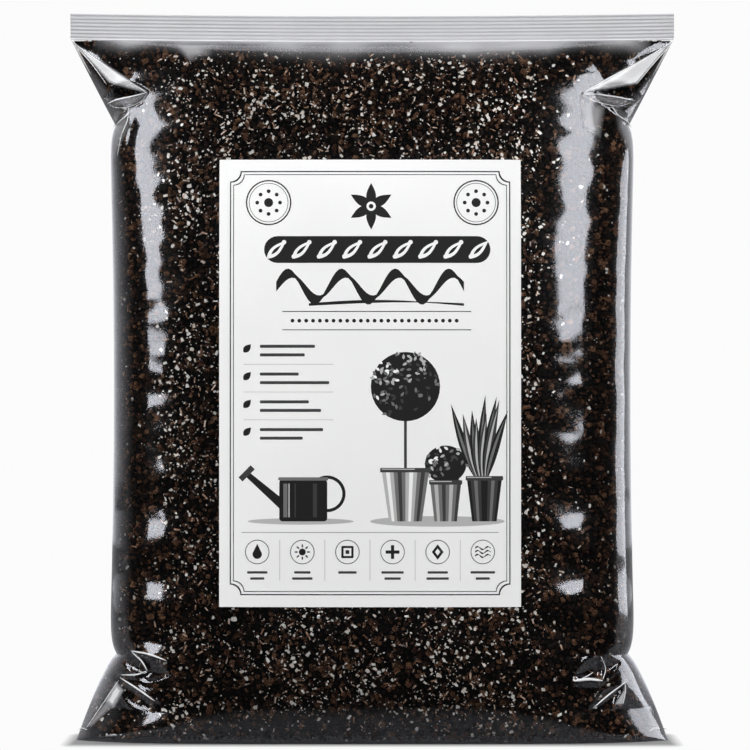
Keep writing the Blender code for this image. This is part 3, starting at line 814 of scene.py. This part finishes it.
def make_compost(film, materials):
    """The compost: a dark packed core, crumbs against the film, perlite grains and bark fibres."""
    core_rings, fractions = seat_points(CORE_INSET, CORE_SIDE_GAP, CORE_CREST, 120, 70, 70)
    lumps = np.abs(field(core_rings, (230.0, 230.0, 230.0), 5.0)) * 0.0014
    lumps[0] = 0.0
    core_rings = core_rings + ring_normals(core_rings) * lumps[..., None]
    core = grid_mesh("compost_core", core_rings, fractions, 71, materials["core"])
    core.data.shade_smooth()
    press_in(core, film, UNEVEN)
    dress(core, "compost_fill")

    tree = scatter_tree()
    for number, (half, seat) in enumerate(seat_halves(materials["crumb"]).items()):
        for name, matter, uneven, spacing, density, seed, shape in CHIPS:
            strew(name + "_" + half, seat, tree, film, uneven, Material=materials[matter],
                  Spacing=spacing[number], Density=density[number], Seed=seed + number, **shape)


# Label print, in millimetres from the middle of the label's lower edge


def circle(centre, radius, sides=32):
    """Points once round a circle."""
    return [(centre[0] + radius * math.cos(2.0 * math.pi * step / sides),
             centre[1] + radius * math.sin(2.0 * math.pi * step / sides)) for step in range(sides)]


def bar(low, high, radius=0.0):
    """A rectangle, with round corners if it has a radius."""
    if not radius:
        return [low, (high[0], low[1]), high, (low[0], high[1])]
    points = []
    corners = ((high[0] - radius, high[1] - radius, 0), (low[0] + radius, high[1] - radius, 90),
               (low[0] + radius, low[1] + radius, 180), (high[0] - radius, low[1] + radius, 270))
    for x, y, start in corners:
        for step in range(7):
            turn = math.radians(start + 15 * step)
            points.append((x + radius * math.cos(turn), y + radius * math.sin(turn)))
    return points


def notched(half, low, high, notch):
    """A rectangle whose corners are cut in by quarter circles."""
    points = []
    for x, y, start in ((half, high, 270), (-half, high, 0), (-half, low, 90), (half, low, 180)):
        for step in range(7):
            turn = math.radians(start - 15 * step)
            points.append((x + notch * math.cos(turn), y + notch * math.sin(turn)))
    return points


def petal(centre, length, width, turn, bend=0.0):
    """A pointed leaf or petal from its foot at the centre."""
    sides = []
    for side in (1.0, -1.0):
        for step in range(13):
            share = step / 12 if side > 0 else 1.0 - step / 12
            if side < 0 and step in (0, 12):
                continue
            along = length * share
            off = side * 0.5 * width * math.sin(math.pi * share ** 0.8) + bend * math.sin(math.pi * share)
            sides.append((centre[0] + along * math.cos(turn) - off * math.sin(turn),
                          centre[1] + along * math.sin(turn) + off * math.cos(turn)))
    return sides


def wave(start, length, height, thickness, turns):
    """A ribbon that swells and narrows along a wavy line."""
    upper = []
    lower = []
    steps = 60
    for step in range(steps + 1):
        share = step / steps
        x = start[0] + length * share
        y = start[1] + height * math.sin(2.0 * math.pi * turns * share)
        half = 0.5 * thickness * (0.25 + 0.75 * abs(math.sin(2.0 * math.pi * turns * share + 0.8)))
        upper.append((x, y + half))
        lower.append((x, y - half))
    return lower + upper[::-1]


def frame_lines():
    """The printed frame: a strong and a fine line, their corners cut in by quarter circles."""
    shapes = []
    for inset, ink in ((0.0, "black"), (0.6, "paper"), (1.6, "black"), (2.0, "paper")):
        shapes.append((ink, notched(68.8 - inset, 5.8 + inset, 213.9 - inset, 5.2)))
    return shapes


def badge(x, y, radius):
    """A plain round badge: a ring, a finer ring and a rosette of dots."""
    shapes = [("black", circle((x, y), radius)), ("paper", circle((x, y), radius - 0.7))]
    shapes += [("black", circle((x, y), radius - 1.5)), ("paper", circle((x, y), radius - 1.8))]
    for turn in range(0, 360, 45):
        spot = (x + 0.50 * radius * math.cos(math.radians(turn)),
                y + 0.50 * radius * math.sin(math.radians(turn)))
        shapes.append(("black", circle(spot, 0.085 * radius, 12)))
    shapes.append(("black", circle((x, y), 0.2 * radius, 20)))
    return shapes


def rosette(x, y, length):
    """A six-petalled flower seen face on, with a paper eye."""
    petals = [petal((x, y), length, 0.42 * length, math.radians(turn)) for turn in range(30, 390, 60)]
    shapes = [("black", outline) for outline in petals]
    return shapes + [("paper", circle((x, y), 0.2 * length, 24)), ("black", circle((x, y), 0.1 * length, 20))]


def title_band(low, height):
    """A bold solid band with a row of paper leaves and dots left open in it."""
    middle = low + 0.5 * height
    shapes = [("black", bar((-52.0, low), (59.0, low + height), 0.5 * height - 0.01))]
    for place in range(9):
        x = -46.0 + 12.4 * place
        shapes.append(("paper", petal((x - 4.6, middle - 4.4), 12.8, 4.4, math.radians(43.0))))
        shapes.append(("black", petal((x - 2.4, middle - 2.3), 6.6, 1.5, math.radians(43.0))))
        if place < 8:
            dots = ((x + 8.6, middle - 3.4), (x + 3.8, middle + 3.6))
            shapes += [("paper", circle(dot, 1.1, 16)) for dot in dots]
    return shapes


def pot(x, low, wide, narrow, height, stripes, inks):
    """A flower pot with a rim, shaded by upright stripes."""
    shapes = []
    for stripe in range(stripes):
        left, right = (stripe / stripes - 0.5), ((stripe + 1) / stripes - 0.5)
        shapes.append((inks[stripe % len(inks)], [
            (x + narrow * left, low), (x + narrow * right, low), (x + wide * right, low + height),
            (x + wide * left, low + height)]))
    shapes.append(("dark", bar((x - 0.54 * wide, low + height), (x + 0.54 * wide, low + height + 2.2), 0.5)))
    shapes.append(("pale", bar((x - 0.50 * wide, low + height + 1.3), (x + 0.20 * wide, low + height + 1.8))))
    return shapes


def clipped_bush(x, y, radius, flatten, chance):
    """A round clipped bush: small leaves in four greys, darker low on the right."""
    shapes = [("black", [(x + radius * a, y + flatten * radius * b) for a, b in circle((0.0, 0.0), 0.97, 36)])]
    for _ in range(int(1.5 * radius ** 1.6)):
        reach = math.sqrt(chance.random()) * 0.93
        turn = chance.uniform(0.0, 2.0 * math.pi)
        spot = (x + radius * reach * math.cos(turn), y + flatten * radius * reach * math.sin(turn))
        light = 0.5 + 0.35 * reach * math.sin(turn) - 0.30 * reach * math.cos(turn)
        light += chance.uniform(-0.35, 0.35)
        ink = ("black", "dark", "grey", "pale", "paper")[min(4, max(0, int(5.0 * light - 0.6)))]
        shapes.append((ink, petal(spot, 2.6, 1.3, chance.uniform(0.0, 2.0 * math.pi))))
    return shapes


def spikes(x, low, height, count, chance):
    """A fan of upright blades with a lighter half each."""
    shapes = []
    for blade in range(count):
        lean = math.radians(90.0 + 38.0 * (0.5 - (blade + 0.5) / count) + chance.uniform(-3.0, 3.0))
        length = height * chance.uniform(0.72, 1.0)
        foot = (x + 5.0 * ((blade + 0.5) / count - 0.5), low)
        shapes.append((("black", "dark")[blade % 2], petal(foot, length, 4.2, lean, 0.6)))
        shapes.append((("grey", "pale")[blade % 2], petal(foot, 0.9 * length, 1.3, lean, 0.9)))
    return shapes


def pot_group(chance):
    """Three clipped plants in pots and their shadow on the ground."""
    shapes = [("pale", [(33.0 + 33.0 * a, 42.0 + 2.6 * b) for a, b in circle((0.0, 0.0), 1.0, 40)])]
    shapes.append(("dark", bar((16.6, 66.0), (18.0, 92.0))))
    shapes += spikes(54.5, 62.0, 42.0, 9, chance)
    shapes += clipped_bush(17.3, 108.0, 17.5, 1.0, chance)
    shapes += clipped_bush(37.0, 70.0, 10.5, 0.9, chance)
    shapes += pot(56.0, 42.0, 17.0, 12.0, 20.0, 10, ("black", "dark", "grey", "dark", "black"))
    shapes += pot(17.3, 42.0, 23.0, 16.0, 24.0, 12, ("pale", "paper", "pale", "grey", "dark", "grey"))
    shapes += pot(37.0, 42.0, 15.0, 11.0, 18.0, 8, ("grey", "pale", "grey", "dark"))
    return shapes


def watering_can(x, low):
    """A watering can in black with grey lights."""
    shapes = [("pale", [(x + 26.0 * a, low + 1.6 * b) for a, b in circle((0.0, 0.0), 1.0, 36)])]
    handle = (x + 13.0, low + 13.5)
    spout = ((-8.0, 4.0), (-7.0, 9.5), (-24.5, 23.5), (-26.5, 21.5))
    rose = ((-28.5, 19.5), (-22.5, 25.5), (-24.5, 27.5), (-30.5, 21.5))
    shapes += [("black", circle(handle, 9.0, 36)), ("paper", circle(handle, 7.4, 36))]
    for ink, outline in (("black", spout), ("dark", rose)):
        shapes.append((ink, [(x + a, low + b) for a, b in outline]))
    shapes.append(("black", bar((x - 10.5, low), (x + 13.0, low + 20.5), 1.6)))
    for left, right, ink in ((-8.5, -6.5, "grey"), (-6.0, -5.4, "pale"), (-3.0, -2.4, "dark"), (6.0, 8.0, "dark")):
        shapes.append((ink, bar((x + left, low + 2.0), (x + right, low + 18.5))))
    shapes.append(("grey", bar((x - 11.0, low + 20.0), (x + 13.5, low + 21.6), 0.6)))
    return shapes


def listing(x, top, row_step):
    """Four rows of a bullet and two short bars, with fine rules between them."""
    shapes = []
    for row, (first, second) in enumerate(((27.0, 22.0), (19.0, 34.0), (24.0, 30.0), (31.0, 21.0))):
        y = top - row_step * row
        shapes.append(("black", petal((x - 2.0, y - 2.2), 5.4, 3.2, math.radians(48.0))))
        shapes.append(("dark", bar((x + 6.0, y), (x + 6.0 + first, y + 1.5), 0.5)))
        shapes.append(("dark", bar((x + 6.0, y - 4.2), (x + 6.0 + second, y - 2.7), 0.5)))
        if row < 3:
            shapes.append(("pale", bar((x - 2.0, y - 8.2), (x + 42.0, y - 7.9))))
    return shapes


def icon(kind, x, y):
    """A ring with one plain sign in it."""
    shapes = [("black", circle((x, y), 6.0)), ("paper", circle((x, y), 5.6))]
    if kind == "drop":
        shapes.append(("black", circle((x, y - 1.1), 2.3)))
        shapes.append(("black", [(x - 2.15, y - 0.3), (x + 2.15, y - 0.3), (x, y + 4.0)]))
    elif kind == "sun":
        shapes += [("black", circle((x, y), 1.7, 20))]
        shapes += [("black", petal((x + 2.1 * math.cos(t), y + 2.1 * math.sin(t)), 2.0, 0.8, t))
                   for t in np.linspace(0.0, 2.0 * math.pi, 9)[:-1]]
    elif kind == "cube":
        for ink, half, radius in (("black", 3.0, 0.5), ("paper", 1.9, 0.0), ("black", 0.9, 0.0)):
            shapes.append((ink, bar((x - half, y - half), (x + half, y + half), radius)))
    elif kind == "cross":
        for wide, high in ((3.4, 0.8), (0.8, 3.4)):
            shapes.append(("black", bar((x - wide, y - high), (x + wide, y + high), 0.3)))
    elif kind == "diamond":
        shapes += [("black", [(x, y - 3.8), (x + 2.9, y), (x, y + 3.8), (x - 2.9, y)]),
                   ("paper", [(x, y - 1.7), (x + 1.3, y), (x, y + 1.7), (x - 1.3, y)])]
    else:
        shapes += [("black", wave((x - 3.8, y + offset), 7.6, 0.7, 0.9, 1.5)) for offset in (-1.9, 0.0, 1.9)]
    return shapes


def icon_row(y):
    """Six icons with short bars under them and fine rules between them."""
    shapes = []
    widths = ((10.0, 7.0), (8.0, 10.0), (9.0, 0.0), (11.0, 8.0), (10.0, 11.0), (12.0, 7.0))
    for place, kind in enumerate(("drop", "sun", "cube", "cross", "diamond", "waves")):
        x = -55.3 + 22.1 * place
        shapes += icon(kind, x, y)
        for line, width in enumerate(widths[place]):
            if width:
                low = y - 10.6 - 3.0 * line
                shapes.append(("dark", bar((x - 0.5 * width, low), (x + 0.5 * width, low + 1.2), 0.4)))
        if place:
            shapes.append(("pale", bar((x - 11.2, y - 14.0), (x - 10.9, y + 6.0))))
    return shapes


def label_shapes():
    """The whole print as (ink, outline), later ones on top."""
    chance = np.random.default_rng(5)
    shapes = frame_lines() + badge(-49.8, 198.3, 11.2) + badge(52.0, 198.3, 11.2) + rosette(0.5, 196.5, 11.5)
    shapes += title_band(168.6, 13.2)
    shapes.append(("black", wave((-46.0, 157.0), 92.0, 6.4, 6.0, 3.5)))
    shapes.append(("black", wave((-30.0, 148.2), 76.0, 1.6, 1.6, 0.5)))
    for y in (144.6, 135.6):
        shapes.append(("black", bar((-43.0, y), (49.5, y + 0.45))))
    shapes += [("black", circle((-38.0 + 3.35 * place, 140.3), 0.95, 12)) for place in range(25)]
    shapes += pot_group(chance) + watering_can(-34.0, 42.0) + listing(-60.0, 127.0, 13.6)
    shapes.append(("grey", bar((-63.0, 36.4), (63.0, 36.7))))
    return shapes + icon_row(27.0)


def surface_point(x, z, stand_off):
    """A point that far in front of the film's smooth front."""
    xs = np.array([x])
    zs = np.array([z])
    return (x, float(-smooth_depth(xs, zs)[0]) - stand_off, z)


def make_label(materials):
    """The label: one thin sheet on the front, its print as fields of ink in its own surface."""
    height = LABEL_TOP - LABEL_BOTTOM
    outline = bar((-LABEL_HALF, 0.0), (LABEL_HALF, height))
    polygons = [("paper", outline)]
    polygons += [(ink, [(x * MM, y * MM) for x, y in shape]) for ink, shape in label_shapes()]
    points = []
    faces = []
    for ink, shape in polygons:
        swept = sum(a[0] * b[1] - a[1] * b[0] for a, b in zip(shape, shape[1:] + shape[:1]))
        faces.append(list(range(len(points), len(points) + len(shape))))
        points += [Vector(point) for point in (shape if swept > 0.0 else shape[::-1])]
    across = np.linspace(-LABEL_HALF, LABEL_HALF, 17)
    upward = np.linspace(0.0, height, 27)
    edges = []
    for y in upward[1:-1]:
        edges.append((len(points), len(points) + 1))
        points += [Vector((-LABEL_HALF, y)), Vector((LABEL_HALF, y))]
    for x in across[1:-1]:
        edges.append((len(points), len(points) + 1))
        points += [Vector((x, 0.0)), Vector((x, height))]
    found, _, triangles, _, _, sources = delaunay_2d_cdt(points, edges, faces, 1, 1e-7)
    inks = ["paper", "black", "dark", "grey", "pale"]
    mesh = bmesh.new()
    front = [mesh.verts.new(surface_point(point.x + LABEL_MIDDLE, point.y + LABEL_BOTTOM, LABEL_STAND_OFF))
             for point in found]
    for triangle, source in zip(triangles, sources):
        if not source:
            continue
        face = mesh.faces.new([front[corner] for corner in triangle])
        face.material_index = inks.index(polygons[max(source)][0])
    for edge in mesh.edges:
        edge.smooth = not edge.is_boundary
    bmesh.ops.recalc_face_normals(mesh, faces=mesh.faces)
    if sum(face.normal.y * face.calc_area() for face in mesh.faces) > 0.0:
        bmesh.ops.reverse_faces(mesh, faces=mesh.faces)
    data = bpy.data.meshes.new("printed_label")
    mesh.to_mesh(data)
    mesh.free()
    data.shade_smooth()
    for ink in inks:
        data.materials.append(materials[ink])
    piece = bpy.data.objects.new("printed_label", data)
    bpy.context.scene.collection.objects.link(piece)
    sheet = piece.modifiers.new("thickness", "SOLIDIFY")
    sheet.thickness = LABEL_THICKNESS
    sheet.offset = -1.0
    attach(piece, "root")
    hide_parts("front_label")
    return piece


# Materials

def film_material():
    """Clear polyethylene film, blown and crimped: glossy, all but invisible face on, milky where it is folded.

    The attribute read below says how milky it is: most at the crimped seal, on creases and just below the seal.
    At the corners it also carries painted highlights, white patches and crease edges where the folds would mirror
    the lamps, and toward the outline a painted sheen is added for the grazing reflection there.
    Even a thin milkiness covers a quarter of what lies behind it, in a darker white.
    """
    material, tree, output = new_material("blown polyethylene film")
    haze_and_highlight = add_node(tree, "ShaderNodeAttribute", attribute_name="haze_and_highlight", attribute_type="GEOMETRY")
    place = add_node(tree, "ShaderNodeTexCoord").outputs["Object"]
    fresnel = add_node(tree, "ShaderNodeFresnel", {"IOR": 1.52})
    both_faces = add_node(tree, "ShaderNodeMath", {
        0: fresnel.outputs[0], 1: 1.9}, operation="MULTIPLY", use_clamp=True)
    clear = add_node(tree, "ShaderNodeBsdfTransparent", {"Color": linear_colour("#fdfdfd")})
    drawn = add_node(tree, "ShaderNodeTexNoise", {"Vector": place, "Scale": 55.0, "Detail": 3.0})
    gloss = add_node(tree, "ShaderNodeMapRange", {"Value": drawn.outputs["Fac"], "To Min": 0.07, "To Max": 0.12})
    mirror = add_node(tree, "ShaderNodeBsdfGlossy", {
        "Color": linear_colour("#f4f6ff"), "Roughness": gloss.outputs[0]})
    film = add_node(tree, "ShaderNodeMixShader", {
        0: both_faces.outputs[0], 1: clear.outputs[0], 2: mirror.outputs[0]})
    # Painted sheen: a milkiness that grows toward the outline, standing in for the grazing reflection along the
    # edges.
    grazing = add_node(tree, "ShaderNodeLayerWeight", {"Blend": 0.5})
    steep = add_node(tree, "ShaderNodeMath", {0: grazing.outputs["Facing"], 1: 3.0}, operation="POWER")
    painted_edge_sheen = add_node(tree, "ShaderNodeMath", {0: steep.outputs[0], 1: 0.25}, operation="MULTIPLY")
    milk_and_highlight = add_node(tree, "ShaderNodeMath", {
        0: haze_and_highlight.outputs["Fac"], 1: painted_edge_sheen.outputs[0]}, operation="ADD", use_clamp=True)
    onset = add_node(tree, "ShaderNodeMapRange", {
        "Value": milk_and_highlight.outputs[0], "From Min": 0.02, "From Max": 0.06, "To Max": 0.27})
    cover = add_node(tree, "ShaderNodeMath", {0: milk_and_highlight.outputs[0], 1: onset.outputs[0]}, operation="MAXIMUM")
    thin = add_node(tree, "ShaderNodeMath", {0: milk_and_highlight.outputs[0], 1: cover.outputs[0]}, operation="DIVIDE")
    mottled = add_node(tree, "ShaderNodeMath", {0: drawn.outputs["Fac"], 1: 0.03, 2: haze_and_highlight.outputs["Fac"]},
                       operation="MULTIPLY_ADD")
    white = add_ramp(tree, mottled.outputs[0], ((0.94, "#c8c8cc"), (0.955, "#d0d0d4"), (1.0, "#fafafc")))
    thinned = add_node(tree, "ShaderNodeVectorMath", {0: white, "Scale": thin.outputs[0]}, operation="SCALE")
    highlight_and_milk_shader = add_node(tree, "ShaderNodeBsdfPrincipled", {"Base Color": thinned.outputs[0], "Roughness": 0.35})
    both = add_node(tree, "ShaderNodeMixShader", {0: cover.outputs[0], 1: film.outputs[0], 2: highlight_and_milk_shader.outputs[0]})
    tree.links.new(both.outputs[0], output.inputs["Surface"])
    return material


def compost_material(name, stops, roughness, grain, contrast, relief, density):
    """Earthy matter whose colour goes by each chip's tone, mottled by a fine grain of its own."""
    material, tree, output = new_material(name)
    tone = add_node(tree, "ShaderNodeAttribute", attribute_name="tone", attribute_type="GEOMETRY")
    place = add_node(tree, "ShaderNodeTexCoord").outputs["Object"]
    mottle = add_node(tree, "ShaderNodeTexNoise", {
        "Vector": place, "Scale": grain, "Detail": 4.0, "Roughness": 0.65})
    centred = add_node(tree, "ShaderNodeMath", {0: mottle.outputs["Fac"], 1: 0.5}, operation="SUBTRACT")
    swing = add_node(tree, "ShaderNodeMath", {0: centred.outputs[0], 1: contrast}, operation="MULTIPLY")
    mixed = add_node(tree, "ShaderNodeMath", {
        0: tone.outputs["Fac"], 1: swing.outputs[0]}, operation="ADD", use_clamp=True)
    colour = add_ramp(tree, mixed.outputs[0], stops)
    bump = add_node(tree, "ShaderNodeBump", {
        "Strength": 0.9, "Distance": relief, "Height": mottle.outputs["Fac"]})
    shader = add_node(tree, "ShaderNodeBsdfPrincipled", {
        "Base Color": colour, "Roughness": roughness, "IOR": density, "Normal": bump.outputs[0]})
    tree.links.new(shader.outputs[0], output.inputs["Surface"])
    return material


def paper_material(name, light, dark):
    """Coated white label paper, offset printed: smooth, a little uneven, a soft semi-gloss."""
    material, tree, output = new_material(name)
    place = add_node(tree, "ShaderNodeTexCoord").outputs["Object"]
    fibres = add_node(tree, "ShaderNodeTexNoise", {"Vector": place, "Scale": 900.0, "Detail": 3.0})
    patches = add_node(tree, "ShaderNodeTexNoise", {"Vector": place, "Scale": 12.0, "Detail": 2.0})
    colour = add_ramp(tree, patches.outputs["Fac"], ((0.35, dark), (0.6, light)))
    bump = add_node(tree, "ShaderNodeBump", {
        "Strength": 0.06, "Distance": 0.0001, "Height": fibres.outputs["Fac"]})
    shader = add_node(tree, "ShaderNodeBsdfPrincipled", {
        "Base Color": colour, "Roughness": 0.55, "Specular IOR Level": 0.2, "Normal": bump.outputs[0]})
    tree.links.new(shader.outputs[0], output.inputs["Surface"])
    return material


# Studio

FRAME_WIDTH = 0.3728         # what the picture's 750 pixels span at the bag
CAMERA_DISTANCE = 3.0
CAMERA_HEIGHT = 0.1814
CAMERA_SIDE = 0.0014
TABLE_EDGE = -0.080          # the table's near edge, just out of the picture
TABLE_EDGE_FADE = 0.030      # painted shade: darker toward that edge, over this distance, so the table's reflection low on the film fades out


def make_camera():
    """A long lens straight in front of the bag."""
    lens = bpy.data.cameras.new("camera")
    lens.sensor_width = 36.0
    lens.lens = lens.sensor_width * CAMERA_DISTANCE / FRAME_WIDTH
    lens.clip_end = 20.0
    camera = bpy.data.objects.new("camera", lens)
    camera.location = (CAMERA_SIDE, -CAMERA_DISTANCE, CAMERA_HEIGHT)
    camera.rotation_euler = (math.radians(90.0), 0.0, 0.0)
    bpy.context.scene.collection.objects.link(camera)
    bpy.context.scene.camera = camera


def add_softbox(name, azimuth, distance, height, size, radiance):
    """A flat soft lamp, turned to the middle of the bag."""
    lamp = bpy.data.lights.new(name, "AREA")
    lamp.shape = "RECTANGLE"
    lamp.size, lamp.size_y = size
    lamp.energy = radiance * math.pi * size[0] * size[1]
    light = bpy.data.objects.new(name, lamp)
    turn = math.radians(azimuth)
    light.location = (distance * math.sin(turn), -distance * math.cos(turn), height)
    aim = Vector((0.0, 0.0, 0.18)) - light.location
    light.rotation_euler = aim.to_track_quat("-Z", "Y").to_euler()
    bpy.context.scene.collection.objects.link(light)


def make_table_material(name, code, shadow_width):
    """Matt white paint that the camera sees evenly lit, but for the bag's own shadow close round its base."""
    material, tree, output = new_material(name)
    place = add_node(tree, "ShaderNodeTexCoord").outputs["Object"]
    grain = add_node(tree, "ShaderNodeTexNoise", {"Vector": place, "Scale": 300.0})
    white = add_ramp(tree, grain.outputs["Fac"], ((0.3, code), (0.7, code)))
    parts = add_node(tree, "ShaderNodeSeparateXYZ", {0: place})
    # Painted shade: the paint darkens toward the table's near edge, so its reflection low on the bag fades out
    # instead of ending sharply.
    edge_shade = add_node(tree, "ShaderNodeMapRange", {
        "Value": parts.outputs["Y"], "From Min": TABLE_EDGE, "From Max": TABLE_EDGE + TABLE_EDGE_FADE})
    edge_shaded_paint = add_node(tree, "ShaderNodeVectorMath", {0: white, "Scale": edge_shade.outputs[0]}, operation="SCALE")
    painted = add_node(tree, "ShaderNodeBsdfPrincipled", {"Base Color": edge_shaded_paint.outputs[0], "Roughness": 0.8})
    glow = add_node(tree, "ShaderNodeEmission", {"Color": linear_colour("#ffffff"), "Strength": 0.97})
    path = add_node(tree, "ShaderNodeLightPath")
    sides = add_node(tree, "ShaderNodeVectorMath", {0: place}, operation="ABSOLUTE")
    beyond = add_node(tree, "ShaderNodeVectorMath", {
        0: sides.outputs[0], 1: (0.5 * BASE_WIDTH, 0.5 * BASE_DEPTH, 0.0)}, operation="SUBTRACT")
    past = add_node(tree, "ShaderNodeVectorMath", {
        0: beyond.outputs[0], 1: (0.0, 0.0, 0.0)}, operation="MAXIMUM")
    spread = add_node(tree, "ShaderNodeVectorMath", {
        0: past.outputs[0], 1: (4.0, 1.0, 1.0)}, operation="MULTIPLY")
    away = add_node(tree, "ShaderNodeVectorMath", {0: spread.outputs[0]}, operation="LENGTH")
    clear = add_node(tree, "ShaderNodeMapRange", {"Value": away.outputs["Value"], "From Max": shadow_width})
    share = add_node(tree, "ShaderNodeMath", {0: path.outputs["Is Camera Ray"], 1: clear.outputs[0]},
                     operation="MULTIPLY")
    shown = add_node(tree, "ShaderNodeMixShader", {
        0: share.outputs[0], 1: painted.outputs[0], 2: glow.outputs[0]})
    tree.links.new(shown.outputs[0], output.inputs["Surface"])
    return material


def make_stage():
    """A pale floor, a lit white surround behind the bag and soft lamps."""
    data = bpy.data.meshes.new("floor")
    near, far, side = TABLE_EDGE, 4.0, 3.0
    corners = [(-side, near, 0.0), (side, near, 0.0), (side, far, 0.0), (-side, far, 0.0)]
    data.from_pydata(corners, [], [(0, 1, 2, 3)])
    data.materials.append(make_table_material("matt white table top", "#989898", 0.026))
    floor = bpy.data.objects.new("floor", data)
    bpy.context.scene.collection.objects.link(floor)

    world = bpy.data.worlds.new("studio")
    bpy.context.scene.world = world
    world.use_nodes = True
    tree = world.node_tree
    tree.nodes.clear()
    path = add_node(tree, "ShaderNodeLightPath")
    direction = add_node(tree, "ShaderNodeTexCoord").outputs["Object"]
    parts = add_node(tree, "ShaderNodeSeparateXYZ", {0: direction})
    behind = add_node(tree, "ShaderNodeMapRange", {
        "Value": parts.outputs["Y"], "From Min": -0.2, "From Max": 0.7, "To Min": 0.012, "To Max": 0.8})
    seen = add_node(tree, "ShaderNodeMix", {0: path.outputs["Is Camera Ray"], 2: behind.outputs[0], 3: 0.97})
    light = add_node(tree, "ShaderNodeBackground", {
        "Color": linear_colour("#ffffff"), "Strength": seen.outputs[0]})
    add_node(tree, "ShaderNodeOutputWorld", {"Surface": light.outputs[0]})

    add_softbox("left softbox", -49.5, 1.3, 0.905, (0.40, 1.54), 7.0)
    add_softbox("right softbox", 37.0, 1.3, 0.80, (0.32, 1.28), 7.0)
    add_softbox("front lamp", 0.0, 2.2, 0.81, (0.78, 0.84), 7.2)
    add_softbox("right side lamp", 102.0, 1.2, 0.24, (0.60, 0.46), 3.6)
    overhead = bpy.data.lights.new("overhead", "AREA")
    overhead.shape = "RECTANGLE"
    overhead.size, overhead.size_y = 1.6, 1.0
    overhead.energy = 1.3 * math.pi * 1.6 * 1.0
    above = bpy.data.objects.new("overhead", overhead)
    above.location = (0.0, 0.55, 1.6)
    above.rotation_euler = (math.radians(-18.0), 0.0, 0.0)
    bpy.context.scene.collection.objects.link(above)


def main():
    compost = {
        "core": compost_material("damp packed peat-free compost", (
            (0.2, "#050302"), (0.6, "#0c0705"), (0.9, "#17100b")), 0.85, 600.0, 1.1, 0.0006, 1.2),
        "crumb": compost_material("damp composted bark crumbs", (
            (0.0, "#050302"), (0.34, "#160c07"), (0.60, "#29180e"), (0.80, "#432817"), (0.93, "#6b432b"),
            (1.0, "#a27a5e")), 0.6, 1900.0, 3.0, 0.0006, 1.3),
        "bark": compost_material("dry shredded bark", (
            (0.0, "#3a2418"), (0.45, "#7c523a"), (0.75, "#e0b08c"), (1.0, "#fff0e0")),
            0.24, 1100.0, 1.4, 0.00003, 2.0),
        "perlite": compost_material("expanded perlite", (
            (0.0, "#f6e6d6"), (0.2, "#fff8ee"), (1.0, "#fffdf8")), 0.32, 1500.0, 0.8, 0.00003, 2.6),
    }
    print_materials = {
        "paper": paper_material("coated label paper", "#fafafa", "#f6f6f6"),
        "black": paper_material("black offset ink", "#141414", "#101010"),
        "dark": paper_material("dark grey offset ink", "#3c3c3c", "#363636"),
        "grey": paper_material("grey offset ink", "#757575", "#6e6e6e"),
        "pale": paper_material("pale grey offset ink", "#bdbdbd", "#b8b8b8"),
    }
    film = Film()
    clear_film = film_material()
    make_film(film, clear_film)
    make_crease_edges(film, clear_film)
    make_compost(film, compost)
    make_label(print_materials)
    make_stage()
    make_camera()
    bpy.context.scene.view_settings.view_transform = "Standard"


main()
